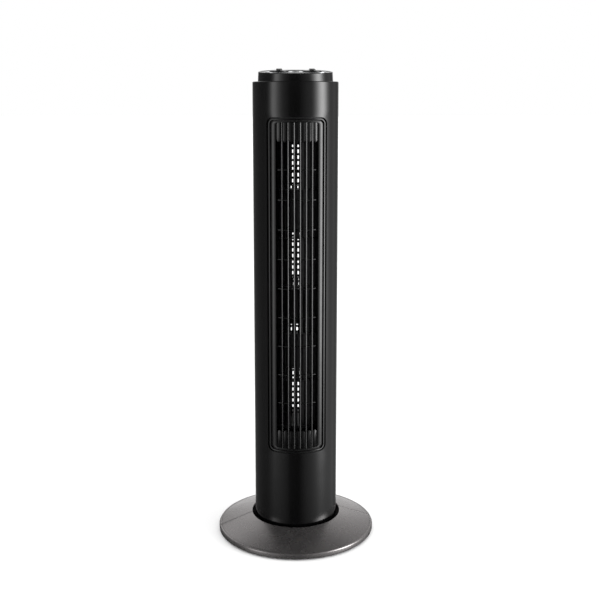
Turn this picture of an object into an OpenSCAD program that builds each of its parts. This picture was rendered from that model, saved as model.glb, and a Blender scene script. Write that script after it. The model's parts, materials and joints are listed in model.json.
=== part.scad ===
// Oscillating tower fan: a round column with a curved front grille, on a two-piece round base.
// Frame: origin on the floor under the column's axis, +Z up, the column faces -Y.

/* [Column] */
// Height of the column's shoulder above the floor
column_top = 716; // [712:0.5:720]
// Outer diameter of the column
column_d = 131; // [130.5:0.5:132]
// Wall thickness of the column's two shells
wall = 2.4; // [2.2:0.1:2.6]

/* [Base] */
// Outer diameter of the base
base_d = 249; // [245:1:252]
// Diameter of the hole that the column turns in
neck_d = 140.4; // [139:0.2:142]
// Height of the base at the edge of that hole
neck_z = 29.5; // [28:0.5:31]
// Height of the base where its cone meets the rim
rim_z = 11.2; // [10.5:0.1:12]
// Turn of the base's seam and swing centre against the column at rest, degrees
base_clock = 6.5; // [0:0.5:10]

/* [Grille] */
// Half width of the window in the column, as seen from the front
window_half = 45; // [44:0.5:46]
// Bottom of the window
window_bottom = 148; // [146:0.5:150]
// Top of the window
window_top = 664; // [662:0.5:666]
// Distance between upright slats
slat_pitch = 9.1; // [9:0.05:9.2]
// Number of upright slats
slat_count = 6; // [4:2:6]
// Number of cross bars behind the slats
bar_count = 9; // [7:1:11]
// Distance between slots of the intake grille
intake_pitch = 9.4; // [8.8:0.1:11]

/* [Blower] */
// Outer diameter of the blower wheel
wheel_d = 84; // [80:1:86]
// Number of wheel sections, one on top of another
stage_count = 6; // [6:1:6]
// Number of blades in a section
blade_count = 24; // [16:2:28]

/* [Controls] */
// Height of the middle of the cap's sloping top
cap_top = 731; // [730:0.5:732]
// Slope of the cap's top towards the front, degrees
cap_tilt = 4; // [3:0.5:4.5]
// Distance of each knob from the middle
knob_x = 24.9; // [24:0.1:26]
// Height of a knob above the panel
knob_h = 4.6; // [4.4:0.05:4.8]

/* [Hidden] */
$fn = 96;

// Column
column_r = column_d / 2;
inner_r = column_r - wall;
column_z0 = 12;
shoulder_r = 1.6;                 // rounding of the column's shoulder
flange_t = 3;                     // top flange round the cap
ledge_r = inner_r - 2.4;          // inner face of the ledge that the grille rests on
slit = 0.15;                      // half of the gap at a seam

// Base
base_r = base_d / 2;
neck_r = neck_d / 2;
base_wall = 2.4;
base_edge = base_r - 4.2;         // radius where the cone ends at the rim's bead
neck_lip = 1.2;                   // width of the rounding at the neck
neck_skirt_z = 17;                // lower end of the neck's inner wall
boss_angles = [30, 90, 150];      // places of the bosses round one half
base_z0 = 2;
plate_r = 92;
plate_z0 = 6;
plate_z1 = 9;
boss_ring_r = 84;
base_boss_r = 4.2;
base_boss_z = 20;
screw_hole_r = 1.3;               // pilot hole of a self-tapping screw
foot_ring_r = 108;
foot_r = 7;
foot_h = 4;
gland_x = 18;
gland_z = 5.6;
spindle_r = 12;
spindle_bore = 8;
spindle_top = 37.5;
stop_ring_r = 40;
stop_r = 3;
swing_half = 35;                  // half of the swing range, degrees

// Swing drive
gear_module = 1.25;
gear_teeth = 36;
pinion_teeth = 12;
pinion_stem_r = 3.5;
gear_z0 = 27.3;
gear_h = 6;
gear_distance = gear_module * (gear_teeth + pinion_teeth) / 2;
table_z0 = 11.3;
table_z1 = 14.3;
table_r = 62.5;
table_rim_z = 24;
table_hub_r = 19;
table_screw_z = 18;
table_screw_angles = [45 : 90 : 315];
swing_motor_z0 = 40;
swing_motor_r = 25;
ear_x = 29.5;

// Grille, from the window inwards
trim_outer = window_half - 2;
trim_inner = trim_outer - 2.4;
panel_half = trim_inner - 1.9;
open_half = panel_half - 7.2;
slat_t = 1.7;
bar_t = 1.8;
bar_pitch = 44.9;
bar_mid = (window_bottom + window_top) / 2 + 0.8;
solid_len = 33;                   // ribbed length at each end of the grille
finger_w = 5.6;
slat_r0 = ledge_r - 2.3;
face_r = column_r - 0.5;
intake_half = 46.7;
intake_z0 = 172.3;
intake_z1 = 647.7;
slot_w = 12.8;
slot_h = 5.6;
slot_step = 14.4;

// Blower, whose axis stands a little behind the column's
wheel_y = 4;
wheel_r = wheel_d / 2;
wheel_z0 = 182;
stage_h = 74.5;
ring_t = 1.6;
blade_r0 = wheel_r - 11;
blade_t = 1.0;
blade_lean = 8;                   // degrees that a blade turns from its inner edge to the rim
stage_turns = [8.3, 12.5, 5.5, 8.3, 12.5, 8.3];   // degrees, so that the sections' blades are staggered
hub_z = 152;
hub_screw_z = 160;
hub_plate_t = 3;
shaft_top = 176;
wheel_top = wheel_z0 + stage_count * stage_h;
shaft_r = 4;
running = 0.05;                   // radial clearance of a running fit
lower_deck_z = 140;
upper_deck_z = wheel_top + 11;
deck_t = 3;
deck_r = ledge_r - 0.4;
bush_r = 13;
cover_r = 20;
cover_screw_x = 16.5;
upper_bearing_r = 9;
stator_z0 = 84;
stator_z1 = 112;
stator_r = 41;
motor_bolt_r = 35;
motor_bolt_angles = [45 : 90 : 315];
bolt_hole_r = 2.2;
bearing_r = 8;
rotor_r = 22;
motor_cap_h = 18;
bearing_nose_h = 24;

// Cap and controls
cap_r = 57.2;
cap_wall = 2.4;
panel_t = 1.2;
panel_half_x = 46;
panel_half_y = 19;
panel_corner = 16;
panel_play = 0.1;
cap_skin = 3.8;                   // thickness of the cap under its sloping top
button_r = 5.1;
button_hole_r = 5.5;
button_rise = 0.9;
button_stem_r = 2;
knob_y = -8;
knob_r = 15;
knob_gap = 0.5;                   // air between the panel and a knob
skirt_z = 1.9;                    // top of a knob's skirt
grip_half = 4.6;                  // half width of a knob's grip
spindle_pin_r = 3;
pocket_half = 40;
pocket_z0 = column_top - 40;
pocket_z1 = column_top - 14;
pocket_y = 30;
boss_x = 54;
housing_screw_z = [42, 100, 665];
screw_head_y = 24;                // where the heads of the housing screws bear

/* ---------- shared shapes ---------- */

// Upright tube between two radii
module tube(r_out, r_in, z0, z1) {
    translate([0, 0, z0]) difference() {
        cylinder(r = r_out, h = z1 - z0);
        translate([0, 0, -1]) cylinder(r = r_in, h = z1 - z0 + 2);
    }
}

// Rectangle with round corners, given by its half width and its bottom and top
module rounded(half, z0, z1, r) {
    translate([-half + r, z0]) square([2 * (half - r), z1 - z0]);
    translate([-half, z0 + r]) square([2 * half, z1 - z0 - 2 * r]);
    for (x = [-half + r, half - r], z = [z0 + r, z1 - r])
        translate([x, z]) circle(r = r);
}

// Pushes an upright outline through the front of the column
module through_front() {
    translate([0, -15, 0]) rotate([90, 0, 0]) linear_extrude(70) children();
}

// Bends an upright outline round the front of the column, between two radii
module curved_front(r0, r1) {
    intersection() {
        through_front() children();
        tube(r1, r0, 10, column_top);
    }
}

// The same at the back
module curved_rear(r0, r1) {
    intersection() {
        rotate([0, 0, 180]) through_front() children();
        tube(r1, r0, 10, column_top);
    }
}

module front_side() { rotate([0, 0, 180]) children(); }

module on_wheel_axis() { translate([0, wheel_y, 0]) children(); }

// Places a child in the sloping plane of the control panel, whose top is z = 0
module on_panel(x) {
    translate([0, 0, cap_top]) rotate([cap_tilt, 0, 0]) translate([x, knob_y, 0]) children();
}

// Pan head screw standing on its head's underside at z = 0, shank downwards
module pan_screw(r, length, head_r, head_h) {
    translate([0, 0, -length]) cylinder(r = r, h = length);
    difference() {
        cylinder(r = head_r, h = head_h);
        translate([-head_r * 0.6, -0.4, head_h * 0.5]) cube([head_r * 1.2, 0.8, head_h]);
        translate([-0.4, -head_r * 0.6, head_h * 0.5]) cube([0.8, head_r * 1.2, head_h]);
    }
}

// One involute tooth flank: angle of the flank at radius r, for base radius rb
function involute_deg(r, rb) =
    let (a = acos(rb / r)) tan(a) * 180 / PI - a;

// Gear outline; a tooth stands at angle 0, thinned by play so that the mesh runs free
function gear_points(teeth, m, play) =
    let (rp = m * teeth / 2, rb = rp * cos(20), ra = rp + m, rf = rp - 1.25 * m,
         half = 90 / teeth - play * 180 / PI / rp / 2 + involute_deg(rp, rb),
         r1 = max(rb, rf + 0.05),
         radii = [r1, (2 * r1 + ra) / 3, (r1 + 2 * ra) / 3, ra])
    [for (i = [0 : teeth - 1], p = concat(
            [[rf, -half]],
            [for (r = radii) [r, -half + involute_deg(r, rb)]],
            [for (k = [3 : -1 : 0]) [radii[k], half - involute_deg(radii[k], rb)]],
            [[rf, half]]))
        let (a = i * 360 / teeth + p[1]) [p[0] * cos(a), p[0] * sin(a)]];

/* ---------- base ---------- */

// Height of the base's outer cone at a radius
function cone_z(r) = neck_z - (r - neck_r - neck_lip) * (neck_z - rim_z) / (base_edge - neck_r - neck_lip);

// Cross-section of the base ring: cone, bead, rim and the neck's inner wall
module base_section() {
    polygon([
        [neck_r, neck_skirt_z], [neck_r + base_wall, neck_skirt_z],
        [neck_r + base_wall, neck_z - base_wall - neck_lip],
        [base_edge - 1.5, rim_z - base_wall], [base_r - base_wall - 0.9, rim_z - 2.6],
        [base_r - base_wall - 0.9, base_z0], [base_r - 1.2, base_z0], [base_r, base_z0 + 1.4],
        [base_r, rim_z - 2.2], [base_r - 0.9, rim_z - 0.9], [base_r - 2.2, rim_z - 0.3],
        [base_edge + 1.3, rim_z - 0.9], [base_edge, rim_z],
        [neck_r + neck_lip, neck_z], [neck_r, neck_z - 0.9]
    ]);
}

// Upright web under the cone
module base_web(angle) {
    rotate([0, 0, angle]) translate([0, 1, 0]) rotate([90, 0, 0]) linear_extrude(2)
        polygon([
            [neck_r + 1, neck_skirt_z], [plate_r + 1.5, plate_z1 + 2], [plate_r + 1.5, base_z0 + 1.5],
            [base_r - 3, base_z0 + 1.5], [base_r - 3, rim_z - 3.2], [base_r - 6.5, rim_z - 1.9],
            [neck_r + 2, neck_z - base_wall - 0.2]
        ]);
}

// Half of the base ring, on the +Y side of its seam
module base_half() {
    difference() {
        union() {
            rotate_extrude(angle = 180) base_section();
            for (a = [15 : 30 : 165]) base_web(a);
            for (a = boss_angles) rotate([0, 0, a]) {
                translate([boss_ring_r, 0, plate_z1])
                    cylinder(r = base_boss_r, h = cone_z(boss_ring_r + base_boss_r) - plate_z1 - 0.8);
                translate([foot_ring_r, 0, base_z0]) cylinder(r = foot_r + 1.8, h = rim_z - base_z0 - 0.4);
            }
        }
        for (a = boss_angles) rotate([0, 0, a]) {
            translate([boss_ring_r, 0, plate_z1 - 1])
                cylinder(r = screw_hole_r, h = base_boss_z - plate_z1 - 1);
            translate([foot_ring_r, 0, base_z0 - 1]) cylinder(r = foot_r + 0.05, h = foot_h - base_z0 + 1);
        }
        translate([-base_r - 1, -1, 0]) cube([2 * base_r + 2, 1 + slit, 40]);
    }
}

module base_front_half() {
    color([0.27, 0.25, 0.25]) rotate([0, 0, base_clock + 180]) base_half();
}

module base_rear_half() {
    color([0.27, 0.25, 0.25]) rotate([0, 0, base_clock]) difference() {
        base_half();
        translate([gland_x, base_r - 12, gland_z]) rotate([-90, 0, 0]) cylinder(r = 3.05, h = 20);
    }
}

module rubber_feet() {
    color([0.06, 0.06, 0.06]) for (i = [0 : 5])
        rotate([0, 0, base_clock + 30 + 60 * i]) translate([foot_ring_r, 0, 0])
            cylinder(r = foot_r, h = foot_h);
}

module cord_gland() {
    y_out = sqrt(pow(base_r, 2) - pow(gland_x, 2));
    color([0.05, 0.05, 0.05]) rotate([0, 0, base_clock]) translate([gland_x, y_out - 5.6, gland_z])
        rotate([-90, 0, 0]) difference() {
            cylinder(r = 3, h = 5.2);
            translate([0, 0, -1]) cylinder(r = 1.8, h = 8);
        }
}

module swivel_plate() {
    color([0.55, 0.56, 0.58]) rotate([0, 0, base_clock]) difference() {
        union() {
            translate([0, 0, plate_z0]) cylinder(r = plate_r, h = plate_z1 - plate_z0);
            translate([0, 0, plate_z1 - 1]) cylinder(r = spindle_r, h = spindle_top - plate_z1 + 1);
            rotate([0, 0, -90]) translate([stop_ring_r, 0, plate_z1 - 1]) cylinder(r = stop_r, h = 5.4);
        }
        translate([0, 0, 0]) cylinder(r = spindle_bore, h = 60);
        tube(spindle_r + 2, spindle_r - 1, gear_z0 + gear_h, gear_z0 + gear_h + 1.2);
        for (a = [30 : 60 : 330]) rotate([0, 0, a]) translate([boss_ring_r, 0, 0]) cylinder(r = 1.8, h = 20);
    }
}

module base_screws() {
    color([0.7, 0.7, 0.72]) for (a = [30 : 60 : 330])
        rotate([0, 0, base_clock + a]) translate([boss_ring_r, 0, plate_z0]) rotate([180, 0, 0])
            pan_screw(1.25, 11, 3.2, 2);
}

module slide_ring() {
    color([0.9, 0.9, 0.86]) tube(60, 50, plate_z1, plate_z1 + 2);
}

module swing_gear() {
    color([0.88, 0.87, 0.8]) difference() {
        translate([0, 0, gear_z0]) rotate([0, 0, 90 + 180 / gear_teeth])
            linear_extrude(gear_h) polygon(gear_points(gear_teeth, gear_module, 0.24));
        translate([0, 0, gear_z0 - 1]) cylinder(r = spindle_r, h = gear_h + 2);
    }
}

module retaining_ring() {
    color([0.6, 0.6, 0.62]) difference() {
        tube(spindle_r + 2.6, spindle_r - 1, gear_z0 + gear_h, gear_z0 + gear_h + 1.2);
        translate([-2.5, -30, gear_z0 + gear_h - 1]) cube([5, 30, 4]);
    }
}

/* ---------- column ---------- */

module turntable() {
    color([0.13, 0.13, 0.14]) difference() {
        union() {
            translate([0, 0, table_z0]) cylinder(r = table_r, h = table_z1 - table_z0);
            tube(table_r, table_r - 2.5, table_z1 - 1, table_rim_z);
            translate([0, 0, table_z0]) cylinder(r = table_hub_r, h = gear_z0 - 0.3 - table_z0);
            for (x = [-ear_x, ear_x])
                translate([x, gear_distance, table_z1 - 1])
                    cylinder(r = 4, h = swing_motor_z0 - table_z1 + 0.2);
            for (a = table_screw_angles) rotate([0, 0, a])
                translate([table_r - 8.5, -4, table_z1 - 1]) cube([7, 8, 8.7]);
        }
        cylinder(r = spindle_r + running, h = 60);
        for (x = [-ear_x, ear_x]) translate([x, gear_distance, 28]) cylinder(r = screw_hole_r, h = 20);
        for (a = table_screw_angles) rotate([0, 0, a]) translate([table_r - 10, 0, table_screw_z])
            rotate([0, 90, 0]) cylinder(r = 1.5, h = 20);
        rotate([0, 0, -90 - swing_half - 5.3]) rotate_extrude(angle = 2 * swing_half + 10.6)
            translate([stop_ring_r - stop_r - 0.6, 0]) square([2 * stop_r + 1.2, 20]);
    }
}

module turntable_screws() {
    color([0.7, 0.7, 0.72]) for (a = table_screw_angles)
        rotate([0, 0, a]) translate([0, 0, table_screw_z]) rotate([0, 90, 0]) {
            translate([0, 0, table_r - 8]) cylinder(r = 1.45, h = column_r - table_r + 6.9);
            translate([0, 0, column_r - 1.8]) cylinder(r1 = 1.45, r2 = 2.7, h = 1.4);
        }
}

// Half of the column's shell on the +Y side, with its top flange, seam step and screw bosses
module shell_half() {
    difference() {
        rotate_extrude(angle = 180) {
            translate([inner_r, column_z0]) square([wall, column_top - column_z0 - shoulder_r]);
            translate([cap_r + 0.8, column_top - flange_t])
                square([column_r - shoulder_r - cap_r - 0.8, flange_t]);
            translate([column_r - shoulder_r, column_top - shoulder_r]) circle(r = shoulder_r, $fn = 32);
        }
        translate([-column_r - 1, -1, 0]) cube([2 * column_r + 2, 1 + slit, column_top + 5]);
        for (a = [45, 135]) rotate([0, 0, a]) translate([0, 0, table_screw_z]) rotate([0, 90, 0]) {
            cylinder(r = 1.6, h = 80);
            translate([0, 0, column_r - 2]) cylinder(r1 = 1.6, r2 = 3.2, h = 2.2);
        }
    }
}

// Outline of the window, drawn in by a distance
module window_outline(inset) {
    rounded(window_half - inset, window_bottom + inset, window_top - inset, 10 - min(inset, 7));
}

module front_housing() {
    color([0.05, 0.05, 0.055]) difference() {
        union() {
            front_side() shell_half();
            curved_front(ledge_r, inner_r + 0.3) difference() {
                rounded(window_half + 3, window_bottom - 5, window_top + 5, 10);
                rounded(open_half + 1.9, window_bottom + 6.2, window_top - 6.2, 4);
            }
            intersection() {
                for (s = [-1, 1], z = housing_screw_z)
                    translate([s * boss_x, -0.3, z]) rotate([90, 0, 0]) cylinder(r = 4, h = 33);
                cylinder(r = inner_r + 0.5, h = column_top);
            }
        }
        through_front_shell() window_outline(0);
        for (s = [-1, 1], z = housing_screw_z)
            translate([s * boss_x, 1, z]) rotate([90, 0, 0]) cylinder(r = screw_hole_r, h = 12);
    }
}

// Cuts only the outer shell, and leaves the ledge behind it
module through_front_shell() {
    intersection() {
        through_front() children();
        tube(column_r + 5, inner_r, 20, column_top - 5);
    }
}

module rear_housing() {
    color([0.05, 0.05, 0.055]) difference() {
        union() {
            shell_half();
            curved_rear(ledge_r, inner_r + 0.3) difference() {
                rounded(intake_half + 3.3, intake_z0 - 5, intake_z1 + 5, 11);
                rounded(intake_half - 2.6, intake_z0 + 2.6, intake_z1 - 2.6, 7);
            }
            intersection() {
                for (s = [-1, 1], z = housing_screw_z)
                    translate([s * boss_x, 0.3, z]) rotate([-90, 0, 0]) cylinder(r = 4.2, h = 36);
                cylinder(r = inner_r + 0.5, h = column_top);
            }
        }
        rotate([0, 0, 180]) through_front_shell()
            rounded(intake_half + 0.3, intake_z0 - 0.3, intake_z1 + 0.3, 9);
        rotate([0, 0, 180]) through_front() rounded(pocket_half + 2, pocket_z0 - 2, pocket_z1 + 2, 9);
        for (s = [-1, 1], z = housing_screw_z) translate([s * boss_x, 0, z]) rotate([-90, 0, 0]) {
            translate([0, 0, -1]) cylinder(r = 1.7, h = 60);
            translate([0, 0, screw_head_y]) cylinder(r = 3.3, h = 30);
        }
    }
}

module housing_screws() {
    color([0.3, 0.3, 0.31]) for (s = [-1, 1], z = housing_screw_z)
        translate([s * boss_x, screw_head_y, z]) rotate([-90, 0, 0]) pan_screw(1.28, screw_head_y + 10, 3, 2);
}

module front_grille() {
    z0 = window_bottom + 6.3;
    z1 = window_top - 6.3;
    inner0 = z0 + 1.7;
    inner1 = z1 - 1.7;
    color([0.04, 0.04, 0.045]) union() {
        // flat border
        curved_front(inner_r + 0.1, face_r) difference() {
            rounded(panel_half, z0, z1, 5);
            rounded(open_half, inner0, inner1, 3);
        }
        // return wall behind the border, and the floor of the ribbed ends
        curved_front(slat_r0, inner_r + 0.4) difference() {
            rounded(open_half + 1.5, z0, z1, 4);
            rounded(open_half, inner0, inner1, 3);
        }
        curved_front(ledge_r + 0.5, inner_r + 0.1) {
            translate([-open_half - 0.5, z0 + 1]) square([2 * open_half + 1, solid_len - 7]);
            translate([-open_half - 0.5, z1 - solid_len + 6]) square([2 * open_half + 1, solid_len - 7]);
        }
        // slats
        curved_front(slat_r0, face_r)
            for (i = [0 : slat_count - 1])
                translate([(i - (slat_count - 1) / 2) * slat_pitch - slat_t / 2, z0 + 1])
                    square([slat_t, z1 - z0 - 2]);
        // cross bars, set back behind the slats' faces
        curved_front(slat_r0, slat_r0 + 3)
            for (k = [0 : bar_count - 1])
                translate([-open_half - 0.5, bar_mid + (k - (bar_count - 1) / 2) * bar_pitch - bar_t / 2])
                    square([2 * open_half + 1, bar_t]);
        // fingers between the slats at both ends
        curved_front(ledge_r + 0.6, face_r - 0.3)
            for (i = [0 : slat_count]) translate([(i - slat_count / 2) * slat_pitch - finger_w / 2, 0]) {
                translate([0, z0 + 1]) square([finger_w, solid_len - 7.2]);
                translate([finger_w / 2, z0 + solid_len - 6.2]) circle(r = finger_w / 2, $fn = 24);
                translate([0, z1 - solid_len + 6.2]) square([finger_w, solid_len - 7.2]);
                translate([finger_w / 2, z1 - solid_len + 6.2]) circle(r = finger_w / 2, $fn = 24);
            }
    }
}

module grille_trim() {
    color([0.09, 0.09, 0.095]) curved_front(inner_r + 0.1, column_r + 0.8) difference() {
        window_outline(2);
        window_outline(4.4);
    }
}

module rear_grille() {
    rows = floor((intake_z1 - intake_z0 - 9) / intake_pitch);
    mid = (intake_z0 + intake_z1) / 2;
    color([0.04, 0.04, 0.045]) curved_rear(inner_r + 0.1, column_r - 0.2) difference() {
        rounded(intake_half, intake_z0, intake_z1, 8.7);
        for (k = [0 : rows - 1], c = [-2.5 : 1 : 2.5])
            translate([c * slot_step - slot_w / 2, mid + (k - (rows - 1) / 2) * intake_pitch - slot_h / 2])
                square([slot_w, slot_h]);
    }
}

module handle_pocket() {
    color([0.06, 0.06, 0.065]) intersection() {
        difference() {
            translate([0, pocket_y, 0]) rotate([90, 0, 180]) linear_extrude(40)
                rounded(pocket_half + 1.8, pocket_z0 - 1.8, pocket_z1 + 1.8, 8.8);
            translate([0, pocket_y + 2, 0]) rotate([90, 0, 180]) linear_extrude(40)
                rounded(pocket_half, pocket_z0, pocket_z1, 7);
        }
        cylinder(r = column_r, h = column_top + 10);
    }
}

/* ---------- cap and controls ---------- */

// Outline of the control panel, grown by a distance
module panel_outline(grow) {
    rounded(panel_half_x + grow, -panel_half_y - grow, panel_half_y + grow, panel_corner + grow);
}

// Block that fills the room under the cap's sloping top, from a depth below it
module under_slope(depth) {
    translate([0, 0, cap_top]) rotate([cap_tilt, 0, 0])
        translate([-80, -80, -60 - depth]) cube([160, 160, 60]);
}

module top_cap() {
    color([0.05, 0.05, 0.055]) difference() {
        union() {
            intersection() {
                translate([0, 0, column_top - 8]) cylinder(r1 = cap_r, r2 = cap_r - 1.2, h = 30);
                under_slope(0);
            }
            tube(cap_r + 3.5, cap_r - 1.5, column_top - 6, column_top - 3.3);
        }
        intersection() {
            translate([0, 0, column_top - 9]) cylinder(r = cap_r - 1.2 - cap_wall, h = 30);
            under_slope(cap_skin);
        }
        on_panel(0) translate([0, 0, -panel_t]) linear_extrude(4) panel_outline(panel_play);
        for (x = [-knob_x, knob_x]) on_panel(x) translate([0, 0, -10]) cylinder(r = 5.4, h = 20);
        on_panel(0) translate([0, 0, -10]) cylinder(r = button_hole_r, h = 20);
    }
}

module control_panel() {
    color([0.75, 0.76, 0.78]) difference() {
        on_panel(0) translate([0, 0, -panel_t]) linear_extrude(panel_t) panel_outline(0);
        for (x = [-knob_x, knob_x]) on_panel(x) translate([0, 0, -5]) cylinder(r = 3.4, h = 10);
        on_panel(0) translate([0, 0, -5]) cylinder(r = button_hole_r, h = 10);
    }
}

// Turning knob: a low skirt with a bar to grip across it
module knob() {
    difference() {
        union() {
            translate([0, 0, knob_gap]) cylinder(r = knob_r, h = skirt_z - knob_gap);
            translate([0, 0, skirt_z - 0.1]) cylinder(r = knob_r - 1.6, h = 0.5);
            translate([-grip_half, -knob_r + 6, skirt_z - 0.1])
                cube([2 * grip_half, 2 * knob_r - 12, knob_h - skirt_z + 0.1]);
            for (s = [-1, 1])
                translate([0, s * (knob_r - 6), skirt_z - 0.1])
                    cylinder(r = grip_half, h = knob_h - skirt_z + 0.1);
        }
        cylinder(r = spindle_pin_r, h = 3.6);
        translate([-0.5, knob_r - 9, knob_h - 0.5]) cube([1, 6, 2]);
    }
}

module speed_knob() { color([0.06, 0.06, 0.06]) on_panel(-knob_x) knob(); }

module timer_knob() { color([0.06, 0.06, 0.06]) on_panel(knob_x) knob(); }

module knob_spindle() { translate([0, 0, -14]) cylinder(r = spindle_pin_r, h = 17.6); }

module speed_spindle() { color([0.75, 0.75, 0.77]) on_panel(-knob_x) knob_spindle(); }

module timer_spindle() { color([0.75, 0.75, 0.77]) on_panel(knob_x) knob_spindle(); }

// Threaded bush of a switch, with the bore that its spindle turns in
module switch_bore() { translate([0, 0, -16]) cylinder(r = spindle_pin_r + running, h = 20); }

module speed_switch() {
    color([0.75, 0.72, 0.62]) on_panel(-knob_x) difference() {
        union() {
            translate([-14, -13, -20]) cube([28, 26, 16.2]);
            translate([0, 0, -5]) cylinder(r = 5.2, h = 5 - panel_t);
        }
        switch_bore();
    }
}

module timer_unit() {
    color([0.8, 0.8, 0.78]) on_panel(knob_x) difference() {
        union() {
            translate([0, 0, -30]) cylinder(r = 16, h = 26.2);
            translate([0, 0, -5]) cylinder(r = 5.2, h = 5 - panel_t);
        }
        switch_bore();
    }
}

module swing_switch() {
    color([0.2, 0.2, 0.22]) on_panel(0) difference() {
        union() {
            translate([-6, -7, -20]) cube([12, 14, 12]);
            for (s = [-1, 1]) translate([-4, s * 8 - 2, -9]) cube([8, 4, 5.2]);
            translate([-4, -10, -10]) cube([8, 20, 2]);
        }
        translate([0, 0, -17]) cylinder(r = button_stem_r + 0.06, h = 20);
    }
}

module swing_button() {
    color([0.1, 0.1, 0.1]) on_panel(0) {
        translate([0, 0, -3.4]) cylinder(r = button_r, h = 3.4 + button_rise);
        translate([0, 0, -13]) cylinder(r = button_stem_r, h = 10);
    }
}

/* ---------- swing drive in the column ---------- */

module swing_motor() {
    color([0.72, 0.73, 0.75]) difference() {
        translate([0, gear_distance, 0]) union() {
            translate([0, 0, swing_motor_z0]) cylinder(r = swing_motor_r, h = 18);
            translate([-ear_x - 4.5, -4.5, swing_motor_z0 - 0.8]) cube([2 * ear_x + 9, 9, 1.4]);
        }
        translate([0, gear_distance, swing_motor_z0 - 2]) cylinder(r = pinion_stem_r + running, h = 8);
        for (x = [-ear_x, ear_x]) translate([x, gear_distance, swing_motor_z0 - 2]) cylinder(r = 1.7, h = 6);
    }
}

module swing_motor_screws() {
    color([0.7, 0.7, 0.72]) for (x = [-ear_x, ear_x])
        translate([x, gear_distance, swing_motor_z0 + 0.6]) pan_screw(1.25, 11, 2.8, 1.9);
}

module swing_pinion() {
    color([0.9, 0.89, 0.82]) translate([0, gear_distance, 0]) {
        translate([0, 0, gear_z0 + 0.3]) rotate([0, 0, -90])
            linear_extrude(gear_h - 0.6) polygon(gear_points(pinion_teeth, gear_module, 0.24));
        translate([0, 0, gear_z0 + gear_h - 0.5])
            cylinder(r = pinion_stem_r, h = swing_motor_z0 - gear_z0 - gear_h + 6.1);
    }
}

module capacitor() {
    size = [30, 11.5, 34];
    color([0.85, 0.86, 0.88]) translate([-size[0] / 2, -57, table_z1]) cube(size);
}

/* ---------- motor ---------- */

module lower_deck() {
    color([0.16, 0.16, 0.17]) difference() {
        translate([0, 0, lower_deck_z]) cylinder(r = deck_r, h = deck_t);
        on_wheel_axis() {
            translate([0, 0, lower_deck_z - 1]) cylinder(r = 14, h = deck_t + 2);
            for (a = motor_bolt_angles) rotate([0, 0, a])
                translate([motor_bolt_r, 0, lower_deck_z - 1]) cylinder(r = bolt_hole_r, h = deck_t + 2);
        }
    }
}

// Motor end cap with its mouth up; z = 0 is the mouth's rim
module motor_cap() {
    difference() {
        union() {
            translate([0, 0, -motor_cap_h]) cylinder(r = stator_r, h = motor_cap_h);
            translate([0, 0, -bearing_nose_h]) cylinder(r = bearing_r + 4, h = 8);
        }
        translate([0, 0, -15]) cylinder(r = stator_r - 2.4, h = 20);
        translate([0, 0, 1 - bearing_nose_h]) cylinder(r = bearing_r, h = 20);
        translate([0, 0, -30]) cylinder(r = shaft_r + 0.6, h = 40);
        for (a = motor_bolt_angles)
            rotate([0, 0, a]) translate([motor_bolt_r, 0, -20]) cylinder(r = bolt_hole_r, h = 20);
    }
}

module motor_lower_cap() {
    color([0.62, 0.63, 0.65]) on_wheel_axis() translate([0, 0, stator_z0]) motor_cap();
}

module motor_upper_cap() {
    color([0.62, 0.63, 0.65]) on_wheel_axis() translate([0, 0, stator_z1]) rotate([180, 0, 0]) motor_cap();
}

module motor_bearings() {
    color([0.72, 0.55, 0.32]) on_wheel_axis() {
        tube(bearing_r, shaft_r + running, stator_z0 + 1 - bearing_nose_h, stator_z0 - 16);
        tube(bearing_r, shaft_r + running, stator_z1 + 16, stator_z1 + bearing_nose_h - 1);
    }
}

module stator_core() {
    color([0.45, 0.46, 0.48]) on_wheel_axis() difference() {
        tube(stator_r, rotor_r + 0.4, stator_z0, stator_z1);
        for (a = [0 : 45 : 315]) rotate([0, 0, a])
            translate([20, -2, stator_z0 - 1]) cube([11, 4, stator_z1 - stator_z0 + 2]);
        for (a = motor_bolt_angles) rotate([0, 0, a])
            translate([motor_bolt_r, 0, stator_z0 - 1])
                cylinder(r = bolt_hole_r, h = stator_z1 - stator_z0 + 2);
    }
}

module stator_windings() {
    color([0.72, 0.38, 0.16]) on_wheel_axis() {
        tube(32, 24, stator_z0 - 9, stator_z0);
        tube(32, 24, stator_z1, stator_z1 + 9);
    }
}

module motor_bolts() {
    color([0.7, 0.7, 0.72]) on_wheel_axis() for (a = motor_bolt_angles)
        rotate([0, 0, a]) translate([motor_bolt_r, 0, 0]) {
            translate([0, 0, stator_z0 - 20.4]) cylinder(r = 3.6, h = 2.4);
            translate([0, 0, stator_z0 - 19]) cylinder(r = 2, h = lower_deck_z + deck_t - stator_z0 + 24);
            translate([0, 0, lower_deck_z + deck_t]) cylinder(r = 3.8, h = 3, $fn = 6);
        }
}

module motor_mounts() {
    color([0.08, 0.08, 0.08]) on_wheel_axis() for (a = motor_bolt_angles) rotate([0, 0, a])
        translate([motor_bolt_r, 0, 0]) tube(5.5, bolt_hole_r - 0.1, stator_z1 + motor_cap_h, lower_deck_z);
}

module motor_shaft() {
    color([0.75, 0.75, 0.77]) on_wheel_axis()
        translate([0, 0, stator_z0 - 22]) cylinder(r = shaft_r, h = shaft_top - stator_z0 + 22);
}

module motor_rotor() {
    color([0.5, 0.5, 0.52]) on_wheel_axis() tube(rotor_r, shaft_r, stator_z0, stator_z1);
}

/* ---------- blower wheel ---------- */

// Centre line of a blade, curved forwards, from s = 0 at the inner edge to s = 1 at the rim
function blade_point(s, side) =
    let (r = blade_r0 + s * (wheel_r - 0.8 - blade_r0),
         a = blade_lean * (1.5 * s * s - 0.5 * s) + side * blade_t * 90 / PI / r)
    [r * cos(a), r * sin(a)];

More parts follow.
